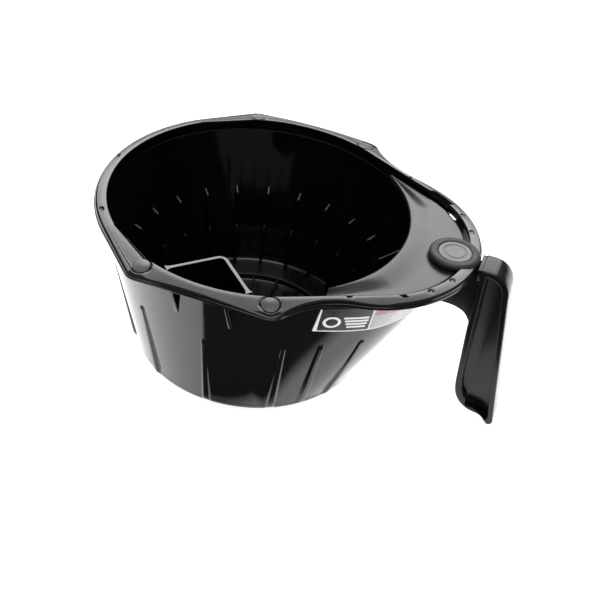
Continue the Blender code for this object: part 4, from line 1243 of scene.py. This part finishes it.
class FunnelFinish(bpy.types.PropertyGroup):
    """Colours of the finishes"""

    body: FloatVectorProperty(
        name="Body", description="Glossy moulded plastic", subtype="COLOR", size=4, default=linear("#0A0A0B"),
    )
    # The land's grey default, paler than the body's black, is partly painted sheen.
    land: FloatVectorProperty(
        name="Land", description="Textured top of the rim", subtype="COLOR", size=4, default=linear("#2E2E30"),
    )
    deck: FloatVectorProperty(
        name="Deck", description="Satin moulded plastic", subtype="COLOR", size=4, default=linear("#1D1E20"),
    )
    rubber: FloatVectorProperty(
        name="Badge ring", description="Moulded rubber", subtype="COLOR", size=4, default=linear("#1C1C1E"),
    )
    disc: FloatVectorProperty(
        name="Badge face", description="Lacquered disc", subtype="COLOR", size=4, default=linear("#6C6C70"),
    )


class FunnelStage(bpy.types.PropertyGroup):
    """Camera and lights"""

    azimuth: FloatProperty(
        name="Azimuth", description="Camera's angle round the bowl", subtype="ANGLE", unit="ROTATION",
        default=math.radians(13.97),
    )
    elevation: FloatProperty(
        name="Elevation", description="Camera's angle above the rim", subtype="ANGLE", unit="ROTATION",
        default=math.radians(38.504),
    )
    roll: FloatProperty(
        name="Roll", description="Camera's turn about its own line of sight", subtype="ANGLE", unit="ROTATION",
        default=math.radians(7.894),
    )
    distance: FloatProperty(
        name="Distance", description="From the rim's middle to the camera", subtype="DISTANCE", unit="LENGTH",
        default=0.667662,
    )
    pan: FloatVectorProperty(
        name="Pan", description="Camera moved right and up in its own plane", size=2, subtype="TRANSLATION",
        unit="LENGTH", default=(0.021068, -0.058853),
    )
    lens: FloatProperty(name="Lens", description="Focal length in millimetres", default=69.0, min=10)
    back_light: FloatProperty(
        name="Back light", description="Softbox behind the object", subtype="POWER", unit="POWER", default=27.0,
    )
    top_light: FloatProperty(
        name="Top light", description="Softbox above the object", subtype="POWER", unit="POWER", default=11.0,
    )


class FUNNEL_OT_bowl(bpy.types.Operator):
    """Builds the bowl with its fins, ribs, pads and gussets"""

    bl_idname = "funnel.bowl"
    bl_label = "Bowl"
    bl_options = {"REGISTER", "UNDO"}

    def execute(self, context):
        build_bowl(context)
        return {"FINISHED"}


class FUNNEL_OT_rim(bpy.types.Operator):
    """Builds the rim with its rails, sinks, notches and window"""

    bl_idname = "funnel.rim"
    bl_label = "Rim"
    bl_options = {"REGISTER", "UNDO"}

    def execute(self, context):
        build_rim(context)
        return {"FINISHED"}


class FUNNEL_OT_plugs(bpy.types.Operator):
    """Builds the four plugs at the rail corners"""

    bl_idname = "funnel.plugs"
    bl_label = "Plugs"
    bl_options = {"REGISTER", "UNDO"}

    def execute(self, context):
        build_plugs(context)
        return {"FINISHED"}


class FUNNEL_OT_deck(bpy.types.Operator):
    """Builds the splash deck that closes the nose"""

    bl_idname = "funnel.deck"
    bl_label = "Splash deck"
    bl_options = {"REGISTER", "UNDO"}

    def execute(self, context):
        build_deck(context)
        return {"FINISHED"}


class FUNNEL_OT_fence(bpy.types.Operator):
    """Builds the bypass fence inside the front rail"""

    bl_idname = "funnel.fence"
    bl_label = "Fence"
    bl_options = {"REGISTER", "UNDO"}

    def execute(self, context):
        build_fence(context)
        return {"FINISHED"}


class FUNNEL_OT_handle(bpy.types.Operator):
    """Builds the grip with its arm and neck"""

    bl_idname = "funnel.handle"
    bl_label = "Handle"
    bl_options = {"REGISTER", "UNDO"}

    def execute(self, context):
        build_handle(context)
        return {"FINISHED"}


class FUNNEL_OT_badge(bpy.types.Operator):
    """Builds the rubber cup and the disc in it"""

    bl_idname = "funnel.badge"
    bl_label = "Badge"
    bl_options = {"REGISTER", "UNDO"}

    def execute(self, context):
        build_badge(context)
        return {"FINISHED"}


class FUNNEL_OT_outlet(bpy.types.Operator):
    """Builds the foot ring and the drain nozzle"""

    bl_idname = "funnel.outlet"
    bl_label = "Outlet"
    bl_options = {"REGISTER", "UNDO"}

    def execute(self, context):
        build_outlet(context)
        return {"FINISHED"}


class FUNNEL_OT_label(bpy.types.Operator):
    """Builds the printed film on the wall"""

    bl_idname = "funnel.label"
    bl_label = "Label"
    bl_options = {"REGISTER", "UNDO"}

    def execute(self, context):
        build_label(context)
        return {"FINISHED"}


class FUNNEL_OT_screws(bpy.types.Operator):
    """Gives the two arm screws their plated steel"""

    bl_idname = "funnel.screws"
    bl_label = "Screws"
    bl_options = {"REGISTER", "UNDO"}

    def execute(self, context):
        finish_screws(context)
        return {"FINISHED"}


class FUNNEL_OT_stage(bpy.types.Operator):
    """Sets the camera, the floor, the lights and the view transform"""

    bl_idname = "funnel.stage"
    bl_label = "Stage"
    bl_options = {"REGISTER", "UNDO"}

    def execute(self, context):
        build_stage(context)
        return {"FINISHED"}


OPERATORS = (
    FUNNEL_OT_bowl,
    FUNNEL_OT_rim,
    FUNNEL_OT_plugs,
    FUNNEL_OT_deck,
    FUNNEL_OT_fence,
    FUNNEL_OT_handle,
    FUNNEL_OT_badge,
    FUNNEL_OT_outlet,
    FUNNEL_OT_label,
    FUNNEL_OT_screws,
    FUNNEL_OT_stage,
)


class FUNNEL_PT_build(bpy.types.Panel):
    """Lists what can be built, and the sizes and colours that it takes"""

    bl_idname = "FUNNEL_PT_build"
    bl_label = "Brew Funnel"
    bl_space_type = "VIEW_3D"
    bl_region_type = "UI"
    bl_category = "Funnel"

    def draw(self, context):
        for owner in (context.scene.funnel_sizes, context.scene.funnel_finish, context.scene.funnel_stage):
            box = self.layout.box()
            for word in owner.bl_rna.properties.keys():
                if word not in ("rna_type", "name"):
                    box.prop(owner, word)
        for operator in OPERATORS:
            self.layout.operator(operator.bl_idname)


CLASSES = (FunnelSizes, FunnelFinish, FunnelStage, *OPERATORS, FUNNEL_PT_build)
GROUPS = {"funnel_sizes": FunnelSizes, "funnel_finish": FunnelFinish, "funnel_stage": FunnelStage}


def register():
    for cls in CLASSES:
        bpy.utils.register_class(cls)
    for word, group in GROUPS.items():
        setattr(bpy.types.Scene, word, PointerProperty(type=group))


def unregister():
    for word in GROUPS:
        delattr(bpy.types.Scene, word)
    for cls in reversed(CLASSES):
        bpy.utils.unregister_class(cls)


def main():
    register()
    for operator in OPERATORS:
        getattr(bpy.ops.funnel, operator.bl_idname.split(".")[1])()
    bpy.context.view_layer.update()


if __name__ == "__main__":
    main()
